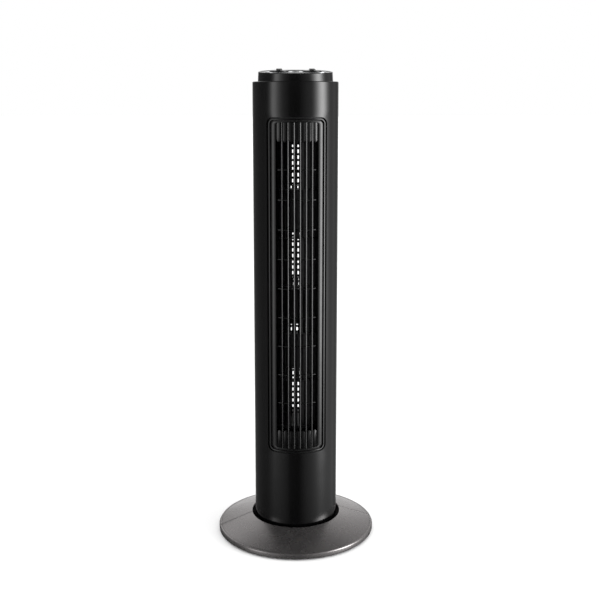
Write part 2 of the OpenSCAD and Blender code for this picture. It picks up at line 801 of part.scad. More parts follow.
module blade_section() {
    polygon(concat(
        [for (k = [0 : 4]) blade_point(k / 4, -1)],
        [for (k = [4 : -1 : 0]) blade_point(k / 4, 1)]));
}

// One wheel section: a ring below and a crown of blades above it
module stage(index) {
    z = wheel_z0 + (index - 1) * stage_h;
    color([0.07, 0.07, 0.08]) on_wheel_axis() union() {
        tube(wheel_r, blade_r0 - 0.5, z, z + ring_t);
        for (k = [0 : blade_count - 1]) rotate([0, 0, k * 360 / blade_count + stage_turns[index - 1]])
            translate([0, 0, z + ring_t - 0.4]) linear_extrude(stage_h - ring_t + 0.4) blade_section();
    }
}

module impeller_stage_1() { stage(1); }
module impeller_stage_2() { stage(2); }
module impeller_stage_3() { stage(3); }
module impeller_stage_4() { stage(4); }
module impeller_stage_5() { stage(5); }
module impeller_stage_6() { stage(6); }

module impeller_hub() {
    color([0.1, 0.1, 0.11]) on_wheel_axis() difference() {
        union() {
            translate([0, 0, wheel_z0 - hub_plate_t]) cylinder(r = wheel_r, h = hub_plate_t);
            translate([0, 0, hub_z]) cylinder(r = 11, h = wheel_z0 - hub_z - 1);
        }
        translate([0, 0, hub_z - 2]) cylinder(r = shaft_r, h = shaft_top - hub_z + 2);
        translate([3, 0, hub_screw_z]) rotate([0, 90, 0]) cylinder(r = 2, h = 10);
    }
}

module hub_screw() {
    color([0.3, 0.3, 0.32]) on_wheel_axis() translate([shaft_r, 0, hub_screw_z]) rotate([0, 90, 0])
        difference() {
            cylinder(r = 2, h = 6);
            translate([0, 0, 4]) cylinder(r = 1, h = 4, $fn = 6);
        }
}

module impeller_top_plate() {
    color([0.1, 0.1, 0.11]) on_wheel_axis() difference() {
        union() {
            translate([0, 0, wheel_top]) cylinder(r = wheel_r, h = 2.4);
            translate([0, 0, wheel_top - 8]) cylinder(r = 9, h = 9);
        }
        translate([0, 0, wheel_top - 10]) cylinder(r = shaft_r, h = 20);
    }
}

module top_stub_shaft() {
    color([0.75, 0.75, 0.77]) on_wheel_axis() translate([0, 0, wheel_top - 8]) cylinder(r = shaft_r, h = 29);
}

/* ---------- duct and upper bearing ---------- */

// Strip along an arc round the wheel's axis, drawn in plan
module arc_strip(r0, r1, a0, a1) {
    steps = ceil(abs(a1 - a0) / 7.5);
    polygon(concat(
        [for (k = [0 : steps]) let (a = a0 + (a1 - a0) * k / steps) [r0 * cos(a), r0 * sin(a)]],
        [for (k = [steps : -1 : 0]) let (a = a0 + (a1 - a0) * k / steps) [r1 * cos(a), r1 * sin(a)]]));
}

// Straight strip between two points in plan
module strip(p, q, t) {
    d = q - p;
    translate(p) rotate(atan2(d[1], d[0])) translate([0, -t / 2]) square([norm(d), t]);
}

// Raises a plan outline from the lower deck to the upper one
module duct() {
    translate([0, 0, lower_deck_z + deck_t]) linear_extrude(upper_deck_z - lower_deck_z - deck_t) children();
}

module scroll_wall() {
    color([0.12, 0.12, 0.13]) {
        duct() translate([0, wheel_y]) arc_strip(wheel_r + 5, wheel_r + 7, 138, 215);
        duct() strip([-39, -22.5], [-34.2, -45.8], 2);
        duct() strip([-35.2, 35.6], [-40.6, 42.2], 2);
    }
}

module cutoff_wall() {
    color([0.12, 0.12, 0.13]) {
        duct() translate([0, wheel_y]) arc_strip(wheel_r + 3.5, wheel_r + 5.5, -42, -12);
        duct() strip([34.4, -27], [34.2, -45.8], 2);
        duct() strip([44.6, -5.6], [55, -4], 2);
    }
}

module upper_deck() {
    color([0.16, 0.16, 0.17]) difference() {
        union() {
            translate([0, 0, upper_deck_z]) cylinder(r = deck_r, h = deck_t);
            on_wheel_axis() translate([0, 0, upper_deck_z - 3]) cylinder(r = cover_r, h = 4);
        }
        on_wheel_axis() {
            translate([0, 0, upper_deck_z - 4]) cylinder(r = upper_bearing_r + 0.8, h = 10);
            translate([0, 0, upper_deck_z]) cylinder(r = bush_r, h = 10);
            for (x = [-cover_screw_x, cover_screw_x])
                translate([x, 0, upper_deck_z - 4]) cylinder(r = screw_hole_r, h = 10);
        }
        // room for the grille's slats and its return wall
        intersection() {
            tube(deck_r + 1, slat_r0 - 0.4, upper_deck_z - 1, upper_deck_z + deck_t + 1);
            translate([-open_half - 2.5, -column_r, 0]) cube([2 * open_half + 5, column_r - 20, column_top]);
        }
    }
}

module bearing_bush() {
    color([0.08, 0.08, 0.08]) on_wheel_axis()
        tube(bush_r - 0.02, upper_bearing_r, upper_deck_z, upper_deck_z + 6);
}

module upper_bearing() {
    color([0.72, 0.55, 0.32]) on_wheel_axis()
        tube(upper_bearing_r, shaft_r + running, upper_deck_z - 1, upper_deck_z + 7);
}

module bearing_cover() {
    color([0.62, 0.63, 0.65]) on_wheel_axis() difference() {
        translate([0, 0, upper_deck_z + deck_t]) cylinder(r = cover_r, h = 5);
        translate([0, 0, upper_deck_z]) cylinder(r = bush_r, h = 6);
        translate([0, 0, upper_deck_z]) cylinder(r = 10.5, h = 10);
        for (x = [-cover_screw_x, cover_screw_x]) translate([x, 0, upper_deck_z]) cylinder(r = 1.6, h = 10);
    }
}

module bearing_screws() {
    color([0.7, 0.7, 0.72]) on_wheel_axis() for (x = [-cover_screw_x, cover_screw_x])
        translate([x, 0, upper_deck_z + deck_t + 5]) pan_screw(1.25, 10, 2.8, 1.9);
}

base_front_half();
base_rear_half();
rubber_feet();
swivel_plate();
base_screws();
slide_ring();
swing_gear();
retaining_ring();
cord_gland();
turntable();
turntable_screws();
front_housing();
rear_housing();
front_grille();
grille_trim();
rear_grille();
handle_pocket();
top_cap();
control_panel();
housing_screws();
swing_motor();
swing_motor_screws();
lower_deck();
motor_lower_cap();
stator_core();
stator_windings();
motor_upper_cap();
motor_bearings();
motor_bolts();
motor_mounts();
capacitor();
scroll_wall();
cutoff_wall();
upper_deck();
bearing_bush();
upper_bearing();
bearing_cover();
bearing_screws();
speed_switch();
timer_unit();
swing_switch();
impeller_stage_1();
impeller_stage_2();
impeller_stage_3();
impeller_stage_4();
impeller_stage_5();
impeller_stage_6();
impeller_hub();
hub_screw();
impeller_top_plate();
top_stub_shaft();
motor_rotor();
motor_shaft();
speed_knob();
speed_spindle();
timer_knob();
timer_spindle();
swing_button();
swing_pinion();
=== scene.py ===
"""Looks of an oscillating tower fan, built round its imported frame."""
import json
import logging
import math
from dataclasses import dataclass, field
from enum import Enum

import bmesh
import bpy
from mathutils import Matrix, Vector


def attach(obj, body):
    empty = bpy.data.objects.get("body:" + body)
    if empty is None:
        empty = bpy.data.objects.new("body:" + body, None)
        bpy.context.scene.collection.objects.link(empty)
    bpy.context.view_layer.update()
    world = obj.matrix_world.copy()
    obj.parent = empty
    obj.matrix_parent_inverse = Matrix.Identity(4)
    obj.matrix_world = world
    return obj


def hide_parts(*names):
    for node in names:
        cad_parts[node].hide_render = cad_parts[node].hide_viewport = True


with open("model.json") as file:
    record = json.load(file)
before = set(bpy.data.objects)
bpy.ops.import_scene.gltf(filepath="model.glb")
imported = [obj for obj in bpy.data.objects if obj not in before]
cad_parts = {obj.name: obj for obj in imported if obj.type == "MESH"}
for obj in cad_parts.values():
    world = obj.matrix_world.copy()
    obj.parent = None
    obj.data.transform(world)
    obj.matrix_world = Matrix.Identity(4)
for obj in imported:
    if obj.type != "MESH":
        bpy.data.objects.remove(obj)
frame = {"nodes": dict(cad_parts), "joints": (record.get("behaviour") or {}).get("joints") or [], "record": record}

MM = 0.001
HARD_EDGE = 32.0  # degrees between two faces from which their edge stays hard
WELD = 0.004 * MM
log = logging.getLogger("tower_fan")

Point = tuple[float, float]
Ring = list[Vector]


def math_node(tree: bpy.types.NodeTree, operation: str, a: object, b: object = None) -> bpy.types.NodeSocket:
    """Add a math node to any tree.

    Args:
        tree: the tree.
        operation: the node's operation.
        a: first socket or number.
        b: second socket or number, if it has one.

    Returns:
        Its result.
    """
    node = tree.nodes.new("ShaderNodeMath")
    node.operation = operation
    for place, value in enumerate((a, b)):
        if isinstance(value, bpy.types.NodeSocket):
            tree.links.new(value, node.inputs[place])
        elif value is not None:
            node.inputs[place].default_value = value
    return node.outputs[0]


# ---------------------------------------------------------------- finishes


class Grain(Enum):
    """How a surface's fine relief is laid."""

    MOULDED = (1.0, 1.0, 1.0)
    BRUSHED_ACROSS = (0.03, 1.0, 1.0)
    STACKED = (0.05, 0.05, 1.0)


@dataclass(frozen=True)
class Finish:
    """A procedural surface: two close shades, a roughness that wanders and a fine relief.

    Lengths are in metres: grain_size across a grain, relief its height, cloud_size across a patch of
    shade, and sparkle across a flake, or 0 for none.
    """

    name: str
    shade: tuple[float, float, float]
    tint: tuple[float, float, float]
    roughness: float
    rough_spread: float
    grain_size: float
    relief: float
    metallic: float = 0.0
    grain: Grain = Grain.MOULDED
    cloud_size: float = 0.05
    sparkle: float = 0.0
    flake_share: float = 0.6
    noise_reach: tuple[float, float] = (0.3, 0.7)

    def material(self) -> bpy.types.Material:
        """Build the node material, or return it if it is there already.

        Returns:
            The material, whose patterns read Object coordinates.
        """
        label = self.name + "_surface"
        found = bpy.data.materials.get(label)
        if found:
            return found
        made = bpy.data.materials.new(label)
        made.use_nodes = True
        tree = made.node_tree
        shader = tree.nodes["Principled BSDF"]
        shader.inputs["Metallic"].default_value = self.metallic
        place = tree.nodes.new("ShaderNodeTexCoord")
        scale = tree.nodes.new("ShaderNodeMapping")
        scale.inputs["Scale"].default_value = self.grain.value
        tree.links.new(place.outputs["Object"], scale.inputs["Vector"])
        self._shade(tree, shader, place)
        self._roughness(tree, shader, place)
        self._relief(tree, shader, scale)
        return made

    def _noise(
        self, tree: bpy.types.NodeTree, source: bpy.types.NodeSocket, size: float, octaves: float,
    ) -> bpy.types.NodeSocket:
        """Add a noise whose features are about size metres.

        Args:
            tree: the material's tree.
            source: the coordinates it reads.
            size: feature size in metres.
            octaves: how much finer detail it has.

        Returns:
            The noise's Fac socket.
        """
        noise = tree.nodes.new("ShaderNodeTexNoise")
        noise.inputs["Scale"].default_value = 1.0 / size
        noise.inputs["Detail"].default_value = octaves
        tree.links.new(source, noise.inputs["Vector"])
        return noise.outputs["Fac"]

    def _shade(self, tree: bpy.types.NodeTree, shader: bpy.types.Node, place: bpy.types.Node) -> None:
        """Cloud the base colour between the two shades, with flakes where the paint has them.

        Args:
            tree: the material's tree.
            shader: its Principled node.
            place: its Texture Coordinate node.
        """
        mix = tree.nodes.new("ShaderNodeMix")
        mix.data_type = "RGBA"
        mix.inputs["A"].default_value = (*self.shade, 1.0)
        mix.inputs["B"].default_value = (*self.tint, 1.0)
        fac = self._noise(tree, place.outputs["Object"], self.cloud_size, octaves=4.0)
        if self.sparkle > 0.0:
            flake = tree.nodes.new("ShaderNodeTexVoronoi")
            flake.inputs["Scale"].default_value = 1.0 / self.sparkle
            tree.links.new(place.outputs["Object"], flake.inputs["Vector"])
            bright = tree.nodes.new("ShaderNodeSeparateColor")
            tree.links.new(flake.outputs["Color"], bright.inputs["Color"])
            flakes = math_node(tree, "MULTIPLY", bright.outputs["Red"], self.flake_share)
            fac = math_node(tree, "ADD", flakes, math_node(tree, "MULTIPLY", fac, 1.0 - self.flake_share))
        tree.links.new(fac, mix.inputs["Factor"])
        tree.links.new(mix.outputs["Result"], shader.inputs["Base Color"])

    def _roughness(self, tree: bpy.types.NodeTree, shader: bpy.types.Node, place: bpy.types.Node) -> None:
        """Let the roughness wander, as handling and moulding leave it.

        Args:
            tree: the material's tree.
            shader: its Principled node.
            place: its Texture Coordinate node.
        """
        spread = tree.nodes.new("ShaderNodeMapRange")
        spread.inputs["From Min"].default_value = self.noise_reach[0]
        spread.inputs["From Max"].default_value = self.noise_reach[1]
        spread.inputs["To Min"].default_value = self.roughness - self.rough_spread
        spread.inputs["To Max"].default_value = self.roughness + self.rough_spread
        fac = self._noise(tree, place.outputs["Object"], self.cloud_size * 0.4, octaves=6.0)
        tree.links.new(fac, spread.inputs["Value"])
        tree.links.new(spread.outputs["Result"], shader.inputs["Roughness"])

    def _relief(self, tree: bpy.types.NodeTree, shader: bpy.types.Node, scale: bpy.types.Node) -> None:
        """Raise the fine grain as bump.

        Args:
            tree: the material's tree.
            shader: its Principled node.
            scale: its Mapping node, which draws the grain out.
        """
        bump = tree.nodes.new("ShaderNodeBump")
        bump.inputs["Strength"].default_value = 1.0
        bump.inputs["Distance"].default_value = self.relief
        fac = self._noise(tree, scale.outputs["Vector"], self.grain_size, octaves=3.0)
        tree.links.new(fac, bump.inputs["Height"])
        tree.links.new(bump.outputs["Normal"], shader.inputs["Normal"])


BLACK_GLOSS = Finish(
    "black_gloss", (0.0012, 0.0012, 0.0013), (0.002, 0.0019, 0.0021), 0.15, 0.03, 2.2 * MM, 0.003 * MM,
)
BLACK_GRILLE = Finish(
    "black_grille", (0.0014, 0.0014, 0.0015), (0.0024, 0.0024, 0.0025), 0.2, 0.04, 0.8 * MM, 0.004 * MM,
)
DARK_MOULDING = Finish(
    "dark_moulding", (0.009, 0.009, 0.0095), (0.014, 0.014, 0.0145), 0.5, 0.08, 0.5 * MM, 0.02 * MM,
)
WHEEL_PLASTIC = Finish(
    "wheel_plastic", (0.006, 0.006, 0.007), (0.011, 0.011, 0.012), 0.4, 0.08, 0.6 * MM, 0.01 * MM,
)
BASE_PAINT = Finish(
    "base_paint", (0.27, 0.254, 0.254), (0.37, 0.354, 0.352), 0.27, 0.04, 0.35 * MM, 0.006 * MM,
    metallic=0.91, sparkle=0.4 * MM,
)
KNOB_PLASTIC = Finish(
    "knob_plastic", (0.006, 0.006, 0.006), (0.01, 0.01, 0.0105), 0.3, 0.05, 0.5 * MM, 0.008 * MM,
)
SILVER_PANEL = Finish(
    "silver_panel", (0.52, 0.53, 0.545), (0.62, 0.63, 0.64), 0.28, 0.05, 1.0 * MM, 0.004 * MM,
    metallic=1.0, grain=Grain.BRUSHED_ACROSS,
)
MARK_WHITE = Finish(
    "mark_white", (0.75, 0.75, 0.74), (0.82, 0.82, 0.81), 0.45, 0.05, 0.4 * MM, 0.004 * MM,
)
MARK_DARK = Finish(
    "mark_dark", (0.02, 0.02, 0.022), (0.03, 0.03, 0.032), 0.5, 0.05, 0.4 * MM, 0.004 * MM,
)
RUBBER = Finish("rubber", (0.012, 0.012, 0.012), (0.022, 0.022, 0.021), 0.75, 0.08, 0.4 * MM, 0.03 * MM)
ZINC_STEEL = Finish(
    "zinc_steel", (0.30, 0.30, 0.31), (0.42, 0.42, 0.43), 0.36, 0.08, 0.8 * MM, 0.01 * MM, metallic=1.0,
)
SCREW_STEEL = Finish(
    "screw_steel", (0.5, 0.5, 0.52), (0.62, 0.61, 0.6), 0.25, 0.06, 0.4 * MM, 0.005 * MM, metallic=1.0,
)
BLACK_SCREW = Finish(
    "black_screw", (0.03, 0.03, 0.031), (0.05, 0.05, 0.05), 0.38, 0.06, 0.3 * MM, 0.006 * MM, metallic=0.9,
)
GROUND_STEEL = Finish(
    "ground_steel", (0.55, 0.55, 0.57), (0.66, 0.66, 0.67), 0.18, 0.04, 0.6 * MM, 0.003 * MM,
    metallic=1.0, grain=Grain.STACKED,
)
WHITE_NYLON = Finish("white_nylon", (0.70, 0.68, 0.60), (0.78, 0.76, 0.68), 0.42, 0.06, 0.7 * MM, 0.01 * MM)
CAST_ALLOY = Finish(
    "cast_alloy", (0.40, 0.41, 0.42), (0.52, 0.52, 0.53), 0.48, 0.08, 0.9 * MM, 0.03 * MM, metallic=1.0,
)
LAMINATION = Finish(
    "lamination", (0.18, 0.18, 0.19), (0.32, 0.32, 0.33), 0.45, 0.08, 0.5 * MM, 0.04 * MM,
    metallic=1.0, grain=Grain.STACKED,
)
COPPER_WIRE = Finish(
    "copper_wire", (0.42, 0.14, 0.05), (0.62, 0.26, 0.10), 0.3, 0.06, 0.6 * MM, 0.08 * MM,
    metallic=0.9, grain=Grain.STACKED,
)
BRONZE = Finish("bronze", (0.38, 0.24, 0.10), (0.52, 0.35, 0.16), 0.4, 0.06, 0.3 * MM, 0.01 * MM, metallic=1.0)
SWITCH_RESIN = Finish(
    "switch_resin", (0.45, 0.42, 0.34), (0.52, 0.49, 0.40), 0.5, 0.06, 0.5 * MM, 0.01 * MM,
)
FINISHES = (
    BLACK_GLOSS, BLACK_GRILLE, DARK_MOULDING, WHEEL_PLASTIC, BASE_PAINT, KNOB_PLASTIC, SILVER_PANEL,
    RUBBER, ZINC_STEEL, SCREW_STEEL, BLACK_SCREW, GROUND_STEEL, WHITE_NYLON, CAST_ALLOY, LAMINATION,
    COPPER_WIRE, BRONZE, SWITCH_RESIN,
)


# ---------------------------------------------------------------- mesh work


@dataclass(frozen=True)
class Outline:
    """Upright rectangle with round corners, as seen from the front of the column."""

    half: float
    low: float
    high: float
    corner: float

    def inset(self, by: float) -> "Outline":
        """Return the outline drawn in by a distance on every side.

        Args:
            by: distance in metres.

        Returns:
            The smaller outline.
        """
        return Outline(self.half - by, self.low + by, self.high - by, max(self.corner - by, 0.3 * MM))

    def points(self, across: int, up: int, arc: int) -> list[Point]:
        """Walk the outline anticlockwise from the middle of its lower left corner.

        Args:
            across: steps along each level side, with half of the corners at its ends.
            up: steps along each upright side, the same way.
            arc: steps in half of a corner.

        Returns:
            The (x, z) points, 2 * (across + up) of them.
        """
        r, w = self.corner, self.half
        corners = [
            (-w + r, self.low + r, 225.0), (w - r, self.low + r, 315.0),
            (w - r, self.high - r, 45.0), (-w + r, self.high - r, 135.0),
        ]
        found: list[Point] = []
        for side, steps in enumerate((across, up, across, up)):
            ax, az, start = corners[side]
            bx, bz, _ = corners[(side + 1) % 4]
            straight = steps - 2 * arc
            for k in range(steps):
                if k <= arc:
                    turn = math.radians(start + 45.0 * k / arc)
                    found.append((ax + r * math.cos(turn), az + r * math.sin(turn)))
                elif k < arc + straight:
                    t = (k - arc) / straight
                    turn = math.radians(start + 45.0)
                    found.append((
                        ax + r * math.cos(turn) + (bx - ax) * t,
                        az + r * math.sin(turn) + (bz - az) * t,
                    ))
                else:
                    turn = math.radians(start + 45.0 + 45.0 * (k - arc - straight) / arc)
                    found.append((bx + r * math.cos(turn), bz + r * math.sin(turn)))
        return found


def new_object(name: str, mesh: bpy.types.Mesh) -> bpy.types.Object:
    """Link a new object at the origin.

    Args:
        name: the piece's name.
        mesh: its mesh.

    Returns:
        The object.
    """
    made = bpy.data.objects.new(name, mesh)
    bpy.context.scene.collection.objects.link(made)
    return made


def circle(radius: float, z: float, steps: int, x: float = 0.0, y: float = 0.0) -> Ring:
    """Make a level circle.

    Args:
        radius: its radius.
        z: its height.
        steps: number of points.
        x: place of its middle.
        y: place of its middle.

    Returns:
        The ring of points.
    """
    turns = [math.tau * k / steps for k in range(steps)]
    return [Vector((x + radius * math.cos(a), y + radius * math.sin(a), z)) for a in turns]


def evenly(span: Point, steps: int) -> list[float]:
    """Space heights evenly.

    Args:
        span: lowest and highest.
        steps: number of gaps between them.

    Returns:
        The heights, one more than the gaps.
    """
    low, high = span
    return [low + (high - low) * k / steps for k in range(steps + 1)]


def mesh_from(name: str, work: bmesh.types.BMesh) -> bpy.types.Object:
    """Weld, close up and shade a bmesh, and make it an object.

    Args:
        name: the piece's name.
        work: the bmesh, freed here.

    Returns:
        The object.
    """
    bmesh.ops.remove_doubles(work, verts=work.verts, dist=WELD)
    bmesh.ops.dissolve_degenerate(work, edges=work.edges, dist=WELD / 2)
    bmesh.ops.recalc_face_normals(work, faces=work.faces)
    mesh = bpy.data.meshes.new(name)
    work.to_mesh(mesh)
    work.free()
    shade(mesh)
    return new_object(name, mesh)


def shade(mesh: bpy.types.Mesh) -> None:
    """Shade a mesh smooth between its hard edges."""
    mesh.polygons.foreach_set("use_smooth", [True] * len(mesh.polygons))
    mesh.set_sharp_from_angle(angle=math.radians(HARD_EDGE))
    mesh.update()


def loft(work: bmesh.types.BMesh, rings: list[Ring], loop: bool = False, closed: bool = True) -> None:
    """Skin a run of rings that have the same number of points.

    Args:
        work: bmesh that gets the faces.
        rings: the rings in order.
        loop: join the last ring to the first; otherwise each end is capped.
        closed: each ring closes on itself.
    """
    rows = [[work.verts.new(p) for p in ring] for ring in rings]
    pairs = list(zip(rows, rows[1:])) + ([(rows[-1], rows[0])] if loop else [])
    count = len(rows[0])
    for a, b in pairs:
        for k in range(count if closed else count - 1):
            n = (k + 1) % count
            work.faces.new((a[k], a[n], b[n], b[k]))
    if not loop and closed:
        work.faces.new(list(reversed(rows[0])))
        work.faces.new(rows[-1])


def revolve(
    work: bmesh.types.BMesh, profile: list[Point], start: float, sweep: float, steps: int,
    centre: Vector = Vector((0.0, 0.0, 0.0)),
) -> None:
    """Turn a closed (radius, height) profile round an upright axis.

    Args:
        work: bmesh that gets the faces.
        profile: the closed section.
        start: first angle in degrees, from +X.
        sweep: angle turned through; 360 makes a full ring.
        steps: steps in the sweep.
        centre: a point on the axis.
    """
    full = abs(sweep - 360.0) < 1e-6
    rings = []
    for k in range(steps if full else steps + 1):
        a = math.radians(start + sweep * k / steps)
        rings.append([centre + Vector((r * math.cos(a), r * math.sin(a), z)) for r, z in profile])
    loft(work, rings, loop=full)


def rounded_profile(corners: list[tuple[float, float, float]], steps: int = 4) -> list[Point]:
    """Round the corners of a closed section.

    Args:
        corners: (x, y, radius) of each corner in order.
        steps: steps in each rounding.

    Returns:
        The section's points.
    """
    found: list[Point] = []
    count = len(corners)
    for k, (x, y, radius) in enumerate(corners):
        here = Vector((x, y))
        before = Vector(corners[k - 1][:2]) - here
        after = Vector(corners[(k + 1) % count][:2]) - here
        if radius <= 0.0:
            found.append((x, y))
            continue
        u, v = before.normalized(), after.normalized()
        half = u.angle(v) / 2
        reach = min(radius / math.tan(half), before.length * 0.49, after.length * 0.49)
        real = reach * math.tan(half)
        centre = here + (u + v).normalized() * (real / math.sin(half))
        a, b = here + u * reach - centre, here + v * reach - centre
        for s in range(steps + 1):
            spoke = a.slerp(b, s / steps).normalized() * real
            found.append((centre.x + spoke.x, centre.y + spoke.y))
    return found


def bevelled(piece: bpy.types.Object, width: float, steps: int = 2, angle: float = 40.0) -> bpy.types.Object:
    """Round the hard edges of a piece for good.

    Args:
        piece: the piece.
        width: width of the rounding in metres.
        steps: steps across it.
        angle: angle in degrees from which an edge counts as hard.

    Returns:
        The same piece.
    """
    modifier = piece.modifiers.new("round", "BEVEL")
    modifier.width = width
    modifier.segments = steps
    modifier.limit_method = "ANGLE"
    modifier.angle_limit = math.radians(angle)
    modifier.harden_normals = True
    return settled(piece)


def settled(piece: bpy.types.Object, reshade: bool = False) -> bpy.types.Object:
    """Turn a piece's modifiers into plain mesh.

    Args:
        piece: the piece.
        reshade: look for the hard edges again.

    Returns:
        The same piece, without modifiers.
    """
    bpy.context.view_layer.update()
    graph = bpy.context.evaluated_depsgraph_get()
    mesh = bpy.data.meshes.new_from_object(piece.evaluated_get(graph), depsgraph=graph)
    old = piece.data
    piece.modifiers.clear()
    piece.data = mesh
    mesh.name = piece.name
    bpy.data.meshes.remove(old)
    if reshade:
        shade(mesh)
    return piece


def cut(piece: bpy.types.Object, tool: bpy.types.Object) -> bpy.types.Object:
    """Take a closed tool's shape out of a piece, and remove the tool.

    Args:
        piece: the piece.
        tool: closed cutter.

    Returns:
        The same piece.
    """
    modifier = piece.modifiers.new("cut", "BOOLEAN")
    modifier.operation = "DIFFERENCE"
    modifier.solver = "EXACT"
    modifier.object = tool
    settled(piece, reshade=True)
    bpy.data.objects.remove(tool)
    return piece


def joined(name: str, parts: list[bpy.types.Object]) -> bpy.types.Object:
    """Make one piece of several closed shells.

    Args:
        name: name of the piece.
        parts: objects at the origin; they are removed.

    Returns:
        The joined piece.
    """
    work = bmesh.new()
    materials: list[bpy.types.Material] = []
    for part in parts:
        first = len(work.faces)
        work.from_mesh(part.data)
        work.faces.ensure_lookup_table()
        slot = part.data.materials[0] if part.data.materials else None
        if slot is not None and slot not in materials:
            materials.append(slot)
        for face in work.faces[first:]:
            face.material_index = materials.index(slot) if slot is not None else 0
    mesh = bpy.data.meshes.new(name)
    work.to_mesh(mesh)
    work.free()
    for material in materials:
        mesh.materials.append(material)
    shade(mesh)
    for part in parts:
        bpy.data.objects.remove(part)
    return new_object(name, mesh)


def dress(
    piece: bpy.types.Object, finish: Finish, body: str, replaced: tuple[str, ...] = (),
) -> bpy.types.Object:
    """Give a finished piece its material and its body.

    Args:
        piece: the piece, at the origin.
        finish: its surface.
        body: CAD body that it rides on.
        replaced: CAD nodes that it stands for.

    Returns:
        The same piece.
    """
    piece.data.materials.clear()
    piece.data.materials.append(finish.material())
    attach(piece, body)
    if replaced:
        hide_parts(*replaced)
    log.info("%s: %d faces, rides on %s", piece.name, len(piece.data.polygons), body)
    return piece


# ---------------------------------------------------------------- repeats by geometry nodes


class RepeatTree:
    """A node group that repeats a template, with named inputs for its sizes."""

    def __init__(self, name: str, sizes: dict[str, float], whole: dict[str, int]) -> None:
        """Start the group with its inputs.

        Args:
            name: name of the group.
            sizes: float inputs with their defaults.
            whole: integer inputs with their defaults.
        """
        self.tree = bpy.data.node_groups.new(name, "GeometryNodeTree")
        face = self.tree.interface
        face.new_socket("Geometry", in_out="INPUT", socket_type="NodeSocketGeometry")
        face.new_socket("Geometry", in_out="OUTPUT", socket_type="NodeSocketGeometry")
        face.new_socket("Template", in_out="INPUT", socket_type="NodeSocketObject")
        face.new_socket("Finish", in_out="INPUT", socket_type="NodeSocketMaterial")
        for label, value in sizes.items():
            face.new_socket(label, in_out="INPUT", socket_type="NodeSocketFloat").default_value = value
        for label, value in whole.items():
            face.new_socket(label, in_out="INPUT", socket_type="NodeSocketInt").default_value = value
        self.start = self.tree.nodes.new("NodeGroupInput")
        self.end = self.tree.nodes.new("NodeGroupOutput")

    def add(self, kind: str, **settings: object) -> bpy.types.Node:
        """Add a node and set its properties.

        Args:
            kind: the node's type name.
            settings: its properties.

        Returns:
            The node.
        """
        node = self.tree.nodes.new(kind)
        for key, value in settings.items():
            setattr(node, key, value)
        return node

    def link(self, a: bpy.types.NodeSocket, b: bpy.types.NodeSocket) -> None:
        """Join two sockets."""
        self.tree.links.new(a, b)

    def sum(self, operation: str, a: object, b: object = None) -> bpy.types.NodeSocket:
        """Add a math node to the group, as math_node does."""
        return math_node(self.tree, operation, a, b)

    def finish(self, points: bpy.types.NodeSocket, turn: bpy.types.NodeSocket | None) -> None:
        """Put the template on every point, make the copies real and set their material.

        Args:
            points: geometry whose points get a copy.
            turn: rotation about +Z of each copy, in radians.
        """
        info = self.add("GeometryNodeObjectInfo", transform_space="ORIGINAL")
        self.link(self.start.outputs["Template"], info.inputs["Object"])
        place = self.add("GeometryNodeInstanceOnPoints")
        self.link(points, place.inputs["Points"])
        self.link(info.outputs["Geometry"], place.inputs["Instance"])
        if turn is not None:
            about = self.add("ShaderNodeCombineXYZ")
            self.link(turn, about.inputs["Z"])
            self.link(about.outputs["Vector"], place.inputs["Rotation"])
        real = self.add("GeometryNodeRealizeInstances")
        self.link(place.outputs["Instances"], real.inputs["Geometry"])
        paint = self.add("GeometryNodeSetMaterial")
        self.link(real.outputs["Geometry"], paint.inputs["Geometry"])
        self.link(self.start.outputs["Finish"], paint.inputs["Material"])
        self.link(paint.outputs["Geometry"], self.end.inputs["Geometry"])

    def run(
        self, name: str, template: bpy.types.Object, finish: Finish, values: dict[str, float],
    ) -> bpy.types.Object:
        """Run the group on a fresh object and keep the result as plain mesh.

        Args:
            name: name of the piece.
            template: what is repeated; it is removed.
            finish: material of the copies.
            values: inputs by their labels.

        Returns:
            The piece.
        """
        piece = new_object(name, bpy.data.meshes.new(name))
        modifier = piece.modifiers.new("repeat", "NODES")
        modifier.node_group = self.tree
        marks = {s.name: s.identifier for s in self.tree.interface.items_tree if s.in_out == "INPUT"}
        modifier[marks["Template"]] = template
        modifier[marks["Finish"]] = finish.material()
        for label, value in values.items():
            modifier[marks[label]] = value
        settled(piece)
        shade(piece.data)
        bpy.data.objects.remove(template)
        return piece


def row_across() -> RepeatTree:
    """Make the group that sets copies side by side on the column's curve.

    Returns:
        The tree, with inputs Count, Pitch, Radius, Side and Turn.
    """
    tree = RepeatTree(
        "row_across", {"Pitch": 0.01, "Radius": 0.06, "Side": -1.0, "Turn": 0.0}, {"Count": 6},
    )
    line = tree.add("GeometryNodeMeshLine", mode="OFFSET")
    tree.link(tree.start.outputs["Count"], line.inputs["Count"])
    index = tree.add("GeometryNodeInputIndex")
    last = tree.sum("SUBTRACT", tree.start.outputs["Count"], 1.0)
    middle = tree.sum("MULTIPLY", last, 0.5)
    x = tree.sum("MULTIPLY", tree.sum("SUBTRACT", index.outputs[0], middle), tree.start.outputs["Pitch"])
    radius = tree.start.outputs["Radius"]
    squares = [tree.sum("MULTIPLY", value, value) for value in (radius, x)]
    depth = tree.sum("SQRT", tree.sum("SUBTRACT", *squares))
    y = tree.sum("MULTIPLY", depth, tree.start.outputs["Side"])
    spot = tree.add("ShaderNodeCombineXYZ")
    tree.link(x, spot.inputs["X"])
    tree.link(y, spot.inputs["Y"])
    move = tree.add("GeometryNodeSetPosition")
    tree.link(line.outputs["Mesh"], move.inputs["Geometry"])
    tree.link(spot.outputs["Vector"], move.inputs["Position"])
    lean = tree.sum("ARCSINE", tree.sum("DIVIDE", x, radius))
    turn = tree.sum("MULTIPLY", lean, tree.start.outputs["Turn"])
    tree.finish(move.outputs["Geometry"], turn)
    return tree


